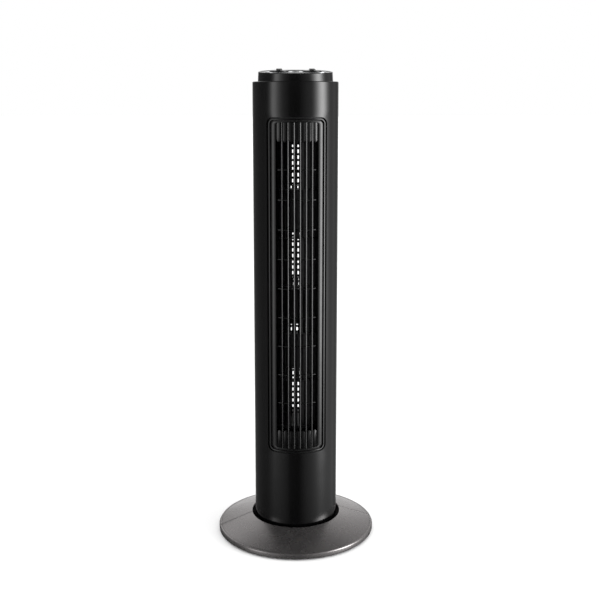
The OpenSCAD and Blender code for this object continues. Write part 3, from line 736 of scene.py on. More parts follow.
def stack_up() -> RepeatTree:
    """Make the group that stacks copies up the column.

    Returns:
        The tree, with inputs Count, Pitch and Base.
    """
    tree = RepeatTree("stack_up", {"Pitch": 0.01, "Base": 0.1}, {"Count": 9})
    line = tree.add("GeometryNodeMeshLine", mode="OFFSET")
    tree.link(tree.start.outputs["Count"], line.inputs["Count"])
    step = tree.add("ShaderNodeCombineXYZ")
    tree.link(tree.start.outputs["Pitch"], step.inputs["Z"])
    tree.link(step.outputs["Vector"], line.inputs["Offset"])
    base = tree.add("ShaderNodeCombineXYZ")
    tree.link(tree.start.outputs["Base"], base.inputs["Z"])
    tree.link(base.outputs["Vector"], line.inputs["Start Location"])
    tree.finish(line.outputs["Mesh"], None)
    return tree


def ring_round() -> RepeatTree:
    """Make the group that turns copies round the upright axis.

    Returns:
        The tree, with inputs Count, First and Step, the last two in degrees.
    """
    tree = RepeatTree("ring_round", {"First": 0.0, "Step": 30.0}, {"Count": 6})
    line = tree.add("GeometryNodeMeshLine", mode="OFFSET")
    tree.link(tree.start.outputs["Count"], line.inputs["Count"])
    line.inputs["Offset"].default_value = (0.0, 0.0, 0.0)
    index = tree.add("GeometryNodeInputIndex")
    steps = tree.sum("MULTIPLY", index.outputs[0], tree.start.outputs["Step"])
    degrees = tree.sum("ADD", steps, tree.start.outputs["First"])
    tree.finish(line.outputs["Mesh"], tree.sum("RADIANS", degrees))
    return tree


# ---------------------------------------------------------------- the column


@dataclass
class Column:
    """The column's two shells, whose walls carry the windows.

    A block is the stretch of heights that is left out of the sheet's rows, to be filled round a window.
    """

    radius: float = 65.5 * MM
    wall: float = 2.4 * MM
    low: float = 12.0 * MM
    top: float = 716.0 * MM
    shoulder: float = 1.6 * MM
    cap_radius: float = 58.0 * MM
    seam: float = 0.15 * MM
    step: float = 2.5
    patch_steps: int = 40
    edge: float = 0.5 * MM
    front_window: Outline = Outline(45.0 * MM, 148.0 * MM, 664.0 * MM, 10.0 * MM)
    intake_window: Outline = Outline(47.0 * MM, 172.0 * MM, 648.0 * MM, 9.0 * MM)
    pocket_window: Outline = Outline(42.0 * MM, 674.0 * MM, 704.0 * MM, 9.0 * MM)
    front_block: Point = (138.0 * MM, 674.0 * MM)
    intake_block: Point = (164.0 * MM, 656.0 * MM)
    pocket_block: Point = (669.0 * MM, 709.0 * MM)
    window_rows: int = 20
    pocket_rows: int = 12
    screw_x: float = 54.0 * MM
    screw_rows: tuple[float, ...] = (42.0 * MM, 100.0 * MM, 665.0 * MM)
    screw_well: float = 3.3 * MM
    well_steps: int = 32
    well_reach: Point = (20.0 * MM, 60.0 * MM)
    well_floor: float = 23.9 * MM

    def point(self, angle: float, radius: float, z: float) -> Vector:
        """Return a point on the front half.

        Args:
            angle: degrees from the front, positive to +X.
            radius: distance from the axis.
            z: height.

        Returns:
            The point.
        """
        a = math.radians(angle)
        return Vector((radius * math.sin(a), -radius * math.cos(a), z))

    def rows(self, levels: list[float]) -> list[Point]:
        """List the (radius, height) rows of the skin, over the shoulder and in to the cap.

        Args:
            levels: heights that have to be rows.

        Returns:
            The rows, from the bottom up.
        """
        found = [(self.radius, z) for z in [self.low, *levels]]
        for k in range(7):
            a = math.radians(15.0 * k)
            found.append((
                self.radius - self.shoulder * (1 - math.cos(a)),
                self.top - self.shoulder * (1 - math.sin(a)),
            ))
        return found + [(self.radius - 4.5 * MM, self.top), (self.cap_radius, self.top)]

    def skin(
        self, name: str, windows: list[tuple[Outline, float, float]], levels: list[float],
    ) -> bpy.types.Object:
        """Build one half shell with its windows, from a single curved sheet.

        Args:
            name: name of the piece.
            windows: each window with the lowest and highest level of the patch that holds it.
            levels: every row height below the shoulder.

        Returns:
            The shell, with rounded edges.
        """
        work = bmesh.new()
        reach = self.patch_steps * self.step / 2
        gap = math.degrees(self.seam / self.radius)
        angles = [-90.0 + gap] + [-90.0 + self.step * k for k in range(1, 72)] + [90.0 - gap]
        rows = self.rows(levels)
        for (r0, z0), (r1, z1) in zip(rows, rows[1:]):
            for a, b in zip(angles, angles[1:]):
                middle, level = (a + b) / 2, (z0 + z1) / 2
                if abs(middle) < reach and any(low < level < high for _, low, high in windows):
                    continue
                corners = ((a, r0, z0), (b, r0, z0), (b, r1, z1), (a, r1, z1))
                work.faces.new([work.verts.new(self.point(*corner)) for corner in corners])
        for window, low, high in windows:
            self.patch(work, window, low, high, [z for z in levels if low <= z <= high])
        bmesh.ops.remove_doubles(work, verts=work.verts, dist=0.01 * MM)
        shell = mesh_from(name, work)
        if shell.data.polygons[0].normal.y > 0:
            shell.data.flip_normals()
        solid = shell.modifiers.new("wall", "SOLIDIFY")
        solid.thickness = self.wall
        solid.offset = -1.0
        solid.use_even_offset = True
        return settled(shell, reshade=True)

    def patch(
        self, work: bmesh.types.BMesh, window: Outline, low: float, high: float, levels: list[float],
    ) -> None:
        """Fill the sheet between a window and the block of rows left out for it.

        Args:
            work: bmesh that gets the faces.
            window: outline of the window.
            low: bottom of the block.
            high: top of the block.
            levels: row heights from low to high.
        """
        reach = self.patch_steps * self.step / 2
        across, up = self.patch_steps, len(levels) - 1
        border = [(-reach + self.step * k, low) for k in range(across)]
        border += [(reach, z) for z in levels[:-1]]
        border += [(reach - self.step * k, high) for k in range(across)]
        border += [(-reach, z) for z in reversed(levels[1:])]
        arc = 6 if up > 14 else 3
        hole = [(math.degrees(math.asin(x / self.radius)), z) for x, z in window.points(across, up, arc)]
        rings = []
        for t in (0.0, 0.5, 1.0):
            rings.append([
                self.point(a0 + (a1 - a0) * t, self.radius, z0 + (z1 - z0) * t)
                for (a0, z0), (a1, z1) in zip(border, hole)
            ])
        for a, b in zip(rings, rings[1:]):
            count = len(a)
            for k in range(count):
                n = (k + 1) % count
                work.faces.new([work.verts.new(p) for p in (a[k], a[n], b[n], b[k])])

    def front(self) -> bpy.types.Object:
        """Build the front shell.

        Returns:
            The dressed piece.
        """
        levels = evenly(self.front_block, self.window_rows)
        shell = self.skin("front_shell", [(self.front_window, *self.front_block)], levels)
        bevelled(shell, self.edge)
        return dress(shell, BLACK_GLOSS, "tower", ("front_housing",))

    def rear(self) -> bpy.types.Object:
        """Build the rear shell, with the intake window, the handle window and the screw wells.

        Returns:
            The dressed piece.
        """
        intake = evenly(self.intake_block, self.window_rows)
        pocket = evenly(self.pocket_block, self.pocket_rows)
        extra = [z + d for z in self.screw_rows[:2] for d in (-6 * MM, 6 * MM)]
        windows = [(self.intake_window, *self.intake_block), (self.pocket_window, *self.pocket_block)]
        shell = self.skin("rear_shell", windows, sorted(extra + intake + pocket))
        shell.data.transform(Matrix.Rotation(math.pi, 4, "Z"))
        for side in (-1, 1):
            for z in self.screw_rows:
                cut(shell, self.well(side * self.screw_x, z))
        bevelled(shell, self.edge * 0.8)
        return dress(shell, BLACK_GLOSS, "tower", ("rear_housing",))

    def well(self, x: float, z: float) -> bpy.types.Object:
        """Make the cutter of one screw well.

        Args:
            x: place across the column.
            z: height.

        Returns:
            A closed cylinder along Y.
        """
        work = bmesh.new()
        loft(work, [self.well_ring(self.screw_well, x, y, z) for y in self.well_reach])
        return mesh_from("well", work)

    def well_ring(self, radius: float, x: float, y: float, z: float) -> Ring:
        """Make an upright circle that faces the back.

        Args:
            radius: its radius.
            x: place of its middle.
            y: depth of its middle.
            z: height of its middle.

        Returns:
            The ring of points.
        """
        return [Vector((p.x, y, p.y)) for p in circle(radius, 0.0, self.well_steps, x=x, y=z)]

    def wells(self) -> bpy.types.Object:
        """Line the screw wells, so that each screw sits at the bottom of a tube.

        Returns:
            The dressed piece.
        """
        tubes = []
        inner, outer = self.screw_well - 0.02 * MM, self.screw_well + 0.9 * MM
        for side in (-1, 1):
            for z in self.screw_rows:
                work = bmesh.new()
                rings = [
                    self.well_ring(radius, side * self.screw_x, self.well_floor, z)
                    for radius in (inner, inner, outer, outer)
                ]
                for p in rings[0] + rings[3]:
                    p.y = math.sqrt((self.radius - self.wall / 2) ** 2 - p.x ** 2)
                loft(work, rings, loop=True)
                tubes.append(mesh_from("tube", work))
        return dress(joined("screw_wells", tubes), BLACK_GLOSS, "tower")

    def build(self) -> None:
        """Build both shells."""
        self.front()
        self.rear()
        self.wells()


# ---------------------------------------------------------------- grilles


@dataclass
class Grilles:
    """The front grille with its trim bead, and the intake grille at the back."""

    radius: float = 65.5 * MM
    ledge: float = 60.7 * MM
    shell_in: float = 63.2 * MM
    window: Outline = Outline(45.0 * MM, 148.0 * MM, 664.0 * MM, 10.0 * MM)
    panel: Outline = Outline(38.7 * MM, 154.3 * MM, 657.7 * MM, 5.0 * MM)
    opening: Outline = Outline(31.5 * MM, 156.0 * MM, 656.0 * MM, 3.0 * MM)
    slat_pitch: float = 9.1 * MM
    slat_count: int = 6
    slat_width: float = 1.7 * MM
    slat_depth: float = 6.4 * MM
    bar_count: int = 9
    bar_pitch: float = 44.9 * MM
    bar_height: float = 1.8 * MM
    bar_middle: float = 406.8 * MM
    bar_radii: Point = (58.5 * MM, 61.3 * MM)
    bar_reach: float = 32.0
    floor_radii: Point = (61.3 * MM, 62.9 * MM)
    finger_width: float = 5.6 * MM
    finger_length: float = 28.6 * MM
    intake: Outline = Outline(46.7 * MM, 172.3 * MM, 647.7 * MM, 8.7 * MM)
    intake_opening: Outline = Outline(42.4 * MM, 181.6 * MM, 638.4 * MM, 2.0 * MM)
    intake_pitch: float = 9.4 * MM
    intake_bars: int = 48
    intake_bar_height: float = 3.8 * MM
    mullion_pitch: float = 14.4 * MM
    mullion_count: int = 5
    intake_reach: float = 41.6

    def curved(self, outline: Outline, radius: float, across: int, up: int, side: int) -> Ring:
        """Lay an outline on the column's curve.

        Args:
            outline: the outline, in front view.
            radius: radius that it lies at.
            across: steps along a level side.
            up: steps along an upright side.
            side: -1 at the front, 1 at the back.

        Returns:
            The ring of points.
        """
        points = outline.points(across, up, 6)
        return [Vector((-side * x, side * math.sqrt(radius ** 2 - x ** 2), z)) for x, z in points]

    def frame(self, name: str, stations: list[tuple[Outline, float]], side: int = -1) -> bpy.types.Object:
        """Loft a curved frame from the stations of its section.

        Args:
            name: name of the piece.
            stations: outline and radius of each point of the section, in order round it.
            side: -1 at the front, 1 at the back.

        Returns:
            The closed frame.
        """
        work = bmesh.new()
        loft(work, [self.curved(o, r, 44, 26, side) for o, r in stations], loop=True)
        return mesh_from(name, work)

    def plate(self, name: str, half: float, low: float, high: float, radii: Point) -> bpy.types.Object:
        """Build a plain curved plate at the front.

        Args:
            name: name of the piece.
            half: half its width, in front view.
            low: its bottom.
            high: its top.
            radii: inner and outer radius.

        Returns:
            The closed plate.
        """
        work = bmesh.new()
        rings = []
        for k in range(25):
            x = -half + 2 * half * k / 24
            ring = []
            for radius, z in ((radii[0], low), (radii[1], low), (radii[1], high), (radii[0], high)):
                ring.append(Vector((x, -math.sqrt(radius ** 2 - x ** 2), z)))
            rings.append(ring)
        loft(work, rings)
        return mesh_from(name, work)

    def hoop(self, name: str, radii: Point, height: float, half_angle: float, side: int) -> bpy.types.Object:
        """Make one level bar that follows the column's curve, with soft edges.

        Args:
            name: name of the template.
            radii: inner and outer radius.
            height: its height.
            half_angle: half of the angle that it spans, in degrees.
            side: -1 at the front, 1 at the back.

        Returns:
            The bar, centred at height 0.
        """
        soft = 0.45 * MM
        inner, outer = radii
        half = height / 2
        corners = [(inner, -half, 0.0), (outer, -half, soft), (outer, half, soft), (inner, half, 0.0)]
        section = rounded_profile(corners, 3)
        work = bmesh.new()
        revolve(work, section, side * 90.0 - half_angle, 2 * half_angle, 26)
        return mesh_from(name, work)

    def upright(
        self, name: str, width: float, depth: float, low: float, high: float, side: int,
    ) -> bpy.types.Object:
        """Make one upright slat with a soft front, whose face is at y = 0.

        Args:
            name: name of the template.
            width: its thickness, seen from the front.
            depth: its depth.
            low: its bottom.
            high: its top.
            side: -1 at the front, 1 at the back.

        Returns:
            The slat.
        """
        nose, soft = width * 0.36, 0.18 * MM
        corners = [
            (0.0, 0.0, soft), (width / 2, nose, soft), (width / 2, depth, 0.1 * MM),
            (-width / 2, depth, 0.1 * MM), (-width / 2, nose, soft),
        ]
        section = rounded_profile(corners, 3)
        work = bmesh.new()
        loft(work, [[Vector((x, -side * y, z)) for x, y in section] for z in (low, high)])
        return mesh_from(name, work)

    def finger(self, top: bool) -> bpy.types.Object:
        """Make one of the rounded fingers between the slats, with its face at y = 0.

        Args:
            top: at the top end, so that its round end points down.

        Returns:
            The finger.
        """
        half, soft, play = self.finger_width / 2, 0.5 * MM, 0.3 * MM
        shoulder, middle = self.finger_length - half, self.finger_length / 2
        outline = [(-half, 0.0), (half, 0.0), (half, shoulder)]
        for a in range(15, 180, 15):
            outline.append((half * math.cos(math.radians(a)), shoulder + half * math.sin(math.radians(a))))
        outline.append((-half, shoulder))
        rings = []
        for inset, y in ((soft, 0.0), (soft * 0.3, soft * 0.3), (0.0, soft), (0.0, 3.2 * MM)):
            ring = []
            for x, z in outline:
                level = middle + (z - middle) * (middle - inset) / middle
                height = self.opening.high + play - level if top else self.opening.low - play + level
                ring.append(Vector((x * (half - inset) / half, y, height)))
            rings.append(ring)
        work = bmesh.new()
        loft(work, rings)
        return mesh_from("finger", work)

    def front_parts(self) -> None:
        """Build the front grille: border, ribbed ends, slats and cross bars."""
        face = self.radius - 0.5 * MM
        o, p = self.opening, self.panel
        back = Outline(o.half + 1.5 * MM, o.low - 1.7 * MM, o.high + 1.7 * MM, 4.0 * MM)
        lip = self.ledge - 2.3 * MM
        border = self.frame("border", [
            (p, self.shell_in), (p, face - 0.5 * MM), (p.inset(0.15 * MM), face - 0.15 * MM),
            (p.inset(0.5 * MM), face), (o.inset(-0.6 * MM), face), (o.inset(-0.18 * MM), face - 0.2 * MM),
            (o, face - 0.6 * MM), (o, lip), (back, lip), (back, self.shell_in),
        ])
        over, deep = 0.5 * MM, 24.5 * MM
        floors = [
            self.plate("floor", o.half + 0.4 * MM, low, high, self.floor_radii)
            for low, high in ((o.low - over, o.low + deep), (o.high - deep, o.high + over))
        ]
        row = row_across()
        spread = {"Pitch": self.slat_pitch, "Side": -1.0}
        fingers = [
            row.run(
                "fingers", self.finger(top), BLACK_GRILLE,
                {"Count": self.slat_count + 1, "Radius": face - 0.3 * MM, "Turn": 1.0, **spread},
            )
            for top in (False, True)
        ]
        slat = self.upright("slat", self.slat_width, self.slat_depth, o.low - 0.4 * MM, o.high + 0.4 * MM, -1)
        slats = row.run(
            "slats", slat, BLACK_GRILLE, {"Count": self.slat_count, "Radius": face, "Turn": 0.0, **spread},
        )
        first = self.bar_middle - self.bar_pitch * (self.bar_count - 1) / 2
        bars = stack_up().run(
            "bars", self.hoop("bar", self.bar_radii, self.bar_height, self.bar_reach, -1), BLACK_GRILLE,
            {"Count": self.bar_count, "Pitch": self.bar_pitch, "Base": first},
        )
        whole = joined("front_grille_panel", [border, *floors, *fingers, slats, bars])
        dress(whole, BLACK_GRILLE, "tower", ("front_grille",))

    def trim(self) -> None:
        """Build the raised bead round the front grille."""
        w, sunk = self.window, self.shell_in - self.radius
        bead = self.frame("trim_bead", [
            (w.inset(inset * MM), self.radius + rise)
            for inset, rise in (
                (2.0, sunk), (2.0, -0.1 * MM), (2.12, 0.3 * MM), (2.5, 0.62 * MM), (3.2, 0.76 * MM),
                (3.9, 0.62 * MM), (4.28, 0.3 * MM), (4.4, -0.1 * MM), (4.4, sunk),
            )
        ])
        dress(bead, BLACK_GLOSS, "tower", ("grille_trim",))
        outer, inner = w.inset(-2.9 * MM), w.inset(11.6 * MM)
        low, high = self.ledge + 0.2 * MM, self.shell_in - 0.15 * MM
        ledge = self.frame("ledge", [(outer, low), (outer, high), (inner, high), (inner, low)])
        dress(ledge, DARK_MOULDING, "tower")

    def rear_parts(self) -> None:
        """Build the intake grille: border, level bars and mullions."""
        face, back = self.radius - 0.2 * MM, self.shell_in
        n, o = self.intake, self.intake_opening
        border = self.frame("intake_border", [
            (n, back), (n, face - 0.5 * MM), (n.inset(0.15 * MM), face - 0.15 * MM), (n.inset(0.5 * MM), face),
            (o.inset(-0.5 * MM), face), (o.inset(-0.15 * MM), face - 0.15 * MM), (o, face - 0.5 * MM),
            (o, back),
        ], 1)
        first = o.low + self.intake_pitch - self.intake_bar_height / 2
        bar = self.hoop("intake_bar", (back, face), self.intake_bar_height, self.intake_reach, 1)
        bars = stack_up().run(
            "intake_bars", bar, BLACK_GRILLE,
            {"Count": self.intake_bars, "Pitch": self.intake_pitch, "Base": first},
        )
        mullion = self.upright("mullion", 1.6 * MM, 2.0 * MM, o.low - 0.6 * MM, o.high + 0.6 * MM, 1)
        mullions = row_across().run("mullions", mullion, BLACK_GRILLE, {
            "Count": self.mullion_count, "Pitch": self.mullion_pitch, "Radius": face - 0.05 * MM,
            "Side": 1.0, "Turn": -1.0,
        })
        whole = joined("intake_grille", [border, bars, mullions])
        dress(whole, BLACK_GRILLE, "tower", ("rear_grille",))

    def build(self) -> None:
        """Build every grille piece."""
        self.front_parts()
        self.trim()
        self.rear_parts()


@dataclass
class Handle:
    """The carrying recess in the back of the column."""

    radius: float = 65.5 * MM
    mouth: Outline = Outline(40.0 * MM, 676.0 * MM, 702.0 * MM, 7.0 * MM)
    floor_y: float = 32.2 * MM
    back_y: float = 30.2 * MM

    def ring(self, outline: Outline, radius: float | None, y: float = 0.0) -> Ring:
        """Lay an outline on the column's curve, or flat at a depth.

        Args:
            outline: the outline.
            radius: radius that it lies at, or None for a flat ring.
            y: depth of a flat ring.

        Returns:
            The ring.
        """
        found = []
        for x, z in outline.points(40, 16, 6):
            found.append(Vector((-x, y if radius is None else math.sqrt(radius ** 2 - x ** 2), z)))
        return found

    def build(self) -> None:
        """Build the liner as one closed dish."""
        m = self.mouth
        work = bmesh.new()
        loft(work, [
            self.ring(m.inset(3.0 * MM), None, self.back_y),
            self.ring(m.inset(-1.0 * MM), None, self.back_y),
            self.ring(m.inset(-1.75 * MM), None, self.back_y + 1.0 * MM),
            self.ring(m.inset(-1.75 * MM), self.radius - 0.5 * MM),
            self.ring(m.inset(-1.6 * MM), self.radius - 0.15 * MM),
            self.ring(m.inset(-0.7 * MM), self.radius - 0.1 * MM),
            self.ring(m.inset(-0.2 * MM), self.radius - 0.4 * MM),
            self.ring(m, self.radius - 1.1 * MM),
            self.ring(m.inset(0.4 * MM), None, self.floor_y + 2.2 * MM),
            self.ring(m.inset(1.2 * MM), None, self.floor_y + 0.6 * MM),
            self.ring(m.inset(2.8 * MM), None, self.floor_y),
            self.ring(m.inset(6.0 * MM), None, self.floor_y),
        ])
        liner = mesh_from("handle_liner", work)
        dress(liner, DARK_MOULDING, "tower", ("handle_pocket",))


# ---------------------------------------------------------------- cap and controls


@dataclass
class Controls:
    """The cap, its sloping panel, the two dials and the push key."""

    cap_top: float = 731.0 * MM
    knob_y: float = -8.0 * MM
    cap_radius: float = 57.2 * MM
    top_radius: float = 56.5 * MM
    cap_low: float = 710.0 * MM
    cap_steps: int = 96
    recess: float = 0.8 * MM
    knob_x: float = 24.9 * MM
    knob_radius: float = 15.0 * MM
    knob_height: float = 4.6 * MM
    grip_half: float = 4.6 * MM
    panel: Outline = Outline(46.0 * MM, -19.0 * MM, 19.0 * MM, 16.0 * MM)
    key_radius: float = 5.1 * MM
    key_play: float = 0.35 * MM
    mark_length: float = 1.9 * MM
    tilt: float = field(init=False)

    def __post_init__(self) -> None:
        """Read the slope of the panel from the dial's own joint axis."""
        axis = next(j["axis"] for j in frame["joints"] if j["name"] == "speed_turn")
        self.tilt = math.atan2(-axis[1], axis[2])

    def on_panel(self, x: float) -> Matrix:
        """Return the matrix that sets a piece on the panel.

        Args:
            x: place across the panel.

        Returns:
            The matrix; the panel's face is z = 0.
        """
        return (
            Matrix.Translation((0.0, 0.0, self.cap_top))
            @ Matrix.Rotation(self.tilt, 4, "X")
            @ Matrix.Translation((x, self.knob_y, 0.0))
        )

    def slope(self, radius: float, drop: float) -> Ring:
        """Make a ring of the cap that follows the sloping top.

        Args:
            radius: its radius.
            drop: how far it lies under the top plane.

        Returns:
            The ring.
        """
        ring = []
        for k in range(self.cap_steps):
            a = math.tau * k / self.cap_steps
            x, y = radius * math.cos(a), radius * math.sin(a)
            ring.append(Vector((x, y, self.cap_top + y * math.tan(self.tilt) - drop)))
        return ring

    def level(self, radius: float, z: float) -> Ring:
        """Make a level ring of the cap."""
        return circle(radius, z, self.cap_steps)

    def cap(self) -> None:
        """Build the cap, with a soft rim and a dished top."""
        work = bmesh.new()
        wall, rim, under = self.cap_radius, self.top_radius, 3.8 * MM
        soft_rim = ((0.0, 1.3), (0.1, 0.8), (0.4, 0.3), (0.9, 0.05), (1.3, 0.0), (1.9, 0.05), (2.3, 0.35))
        loft(work, [
            self.slope(4.0 * MM, under), self.slope(rim - 4.0 * MM, under),
            self.level(wall - 2.4 * MM, self.cap_low + 1.0 * MM), self.level(wall - 2.2 * MM, self.cap_low),
            self.level(wall, self.cap_low), self.level(wall - 0.1 * MM, self.cap_low + 7.0 * MM),
            *(self.slope(rim - inset * MM, drop * MM) for inset, drop in soft_rim),
            *(self.slope(r, self.recess) for r in (rim - 2.6 * MM, rim - 12.0 * MM, 20.0 * MM, 4.0 * MM)),
        ])
        piece = mesh_from("cap", work)
        cut(piece, self.key_hole())
        dress(piece, BLACK_GLOSS, "tower", ("top_cap",))

    def key_hole(self) -> bpy.types.Object:
        """Make the cutter of the push key's hole.

        Returns:
            A closed cylinder, square to the panel.
        """
        work = bmesh.new()
        radius = self.key_radius + self.key_play
        loft(work, [circle(radius, z, 48) for z in (-12.0 * MM, 6.0 * MM)])
        hole = mesh_from("key_hole", work)
        hole.data.transform(self.on_panel(0.0))
        return hole

    def face(self) -> None:
        """Build the silver panel and the marks round its dials."""
        work = bmesh.new()
        rings = []
        under = -self.recess - 0.3 * MM
        for inset, z in ((0.0, under), (0.0, -0.28 * MM), (0.1 * MM, -0.08 * MM), (0.3 * MM, 0.0)):
            rings.append([Vector((x, y, z)) for x, y in self.panel.inset(inset).points(28, 20, 8)])
        loft(work, rings)
        plate = mesh_from("dial_panel", work)
        plate.data.transform(self.on_panel(0.0))
        cut(plate, self.key_hole())
        dress(plate, SILVER_PANEL, "tower", ("control_panel",))
        for side, count, span, name in ((-1, 4, 135.0, "speed_marks"), (1, 13, 300.0, "timer_marks")):
            self.marks(side * self.knob_x, count, span, name)

    def marks(self, x: float, count: int, span: float, name: str) -> None:
        """Print a dial's scale on the panel.

        Args:
            x: place of the dial.
            count: number of marks.
            span: angle from the first to the last, in degrees.
            name: name of the piece.
        """
        work = bmesh.new()
        reach, half, low, high = self.knob_radius + 0.9 * MM, 0.28 * MM, -0.02 * MM, 0.06 * MM
        corners = ((-half, low), (half, low), (half, high), (-half, high))
        loft(work, [[Vector((px, py, pz)) for px, pz in corners] for py in (reach, reach + self.mark_length)])
        tick = mesh_from("tick", work)
        steps = {"Count": count, "First": 0.0, "Step": -span / (count - 1)}
        scale = ring_round().run(name, tick, MARK_DARK, steps)
        scale.data.transform(self.on_panel(x))
        dress(scale, MARK_DARK, "tower")

    def dial(self, x: float, body: str, name: str, node: str) -> None:
        """Build one dial: a thin skirt with a bar to grip, and a pointer let into it.

        Args:
            x: place across the panel.
            body: CAD body of the dial.
            name: name of the piece.
            node: CAD node that it stands for.
        """
        r, h = self.knob_radius, self.knob_height
        skirt_work = bmesh.new()
        section = rounded_profile([
            (2.0 * MM, 0.5 * MM, 0.0), (r, 0.5 * MM, 0.25 * MM), (r - 0.3 * MM, 1.9 * MM, 0.6 * MM),
            (r - 2.2 * MM, 2.3 * MM, 0.5 * MM), (2.0 * MM, 2.3 * MM, 0.0),
        ])
        revolve(skirt_work, section, 0.0, 360.0, 72)
        skirt = mesh_from("skirt", skirt_work)
        grip_work = bmesh.new()
        grip = Outline(self.grip_half, -r + 1.4 * MM, r - 1.4 * MM, self.grip_half - 0.02 * MM)
        rings = []
        for inset, z in (
            (0.0, 1.0 * MM), (0.0, 2.4 * MM), (0.25 * MM, h - 0.9 * MM), (0.45 * MM, h - 0.35 * MM),
            (0.85 * MM, h - 0.08 * MM), (1.4 * MM, h),
        ):
            rings.append([Vector((px, py, z)) for px, py in grip.inset(inset).points(18, 24, 8)])
        loft(grip_work, rings)
        bar = mesh_from("grip", grip_work)
        knob = joined(name, [skirt, bar])
        knob.data.transform(self.on_panel(x))
        dress(knob, KNOB_PLASTIC, body, (node,))
        line = bmesh.new()
        stripe = Outline(0.55 * MM, r - 9.0 * MM, r - 2.6 * MM, 0.5 * MM)
        low, high = h - 0.4 * MM, h + 0.02 * MM
        loft(line, [[Vector((px, py, z)) for px, py in stripe.points(8, 8, 3)] for z in (low, high)])
        pointer = mesh_from(name + "_pointer", line)
        pointer.data.transform(self.on_panel(x))
        dress(pointer, MARK_WHITE, body)

    def key(self) -> None:
        """Build the push key, with a soft edge and a dished face."""
        r = self.key_radius
        work = bmesh.new()
        loft(work, [
            circle(radius, z * MM, 48)
            for radius, z in (
                (r, -3.3), (r, 0.35), (r - 0.12 * MM, 0.65), (r - 0.45 * MM, 0.85), (r - 0.9 * MM, 0.88),
                (r - 2.2 * MM, 0.7), (0.4 * MM, 0.55),
            )
        ])
        key = mesh_from("push_key", work)
        stem = bmesh.new()
        loft(stem, [circle(2.0 * MM, z, 24) for z in (-12.9 * MM, -3.0 * MM)])
        whole = joined("push_key", [key, mesh_from("stem", stem)])
        whole.data.transform(self.on_panel(0.0))
        dress(whole, KNOB_PLASTIC, "swing_key", ("swing_button",))

    def build(self) -> None:
        """Build the cap and everything on it."""
        self.cap()
        self.face()
        self.dial(-self.knob_x, "speed_dial", "speed_dial_knob", "speed_knob")
        self.dial(self.knob_x, "timer_dial", "timer_dial_knob", "timer_knob")
        self.key()


# ---------------------------------------------------------------- base


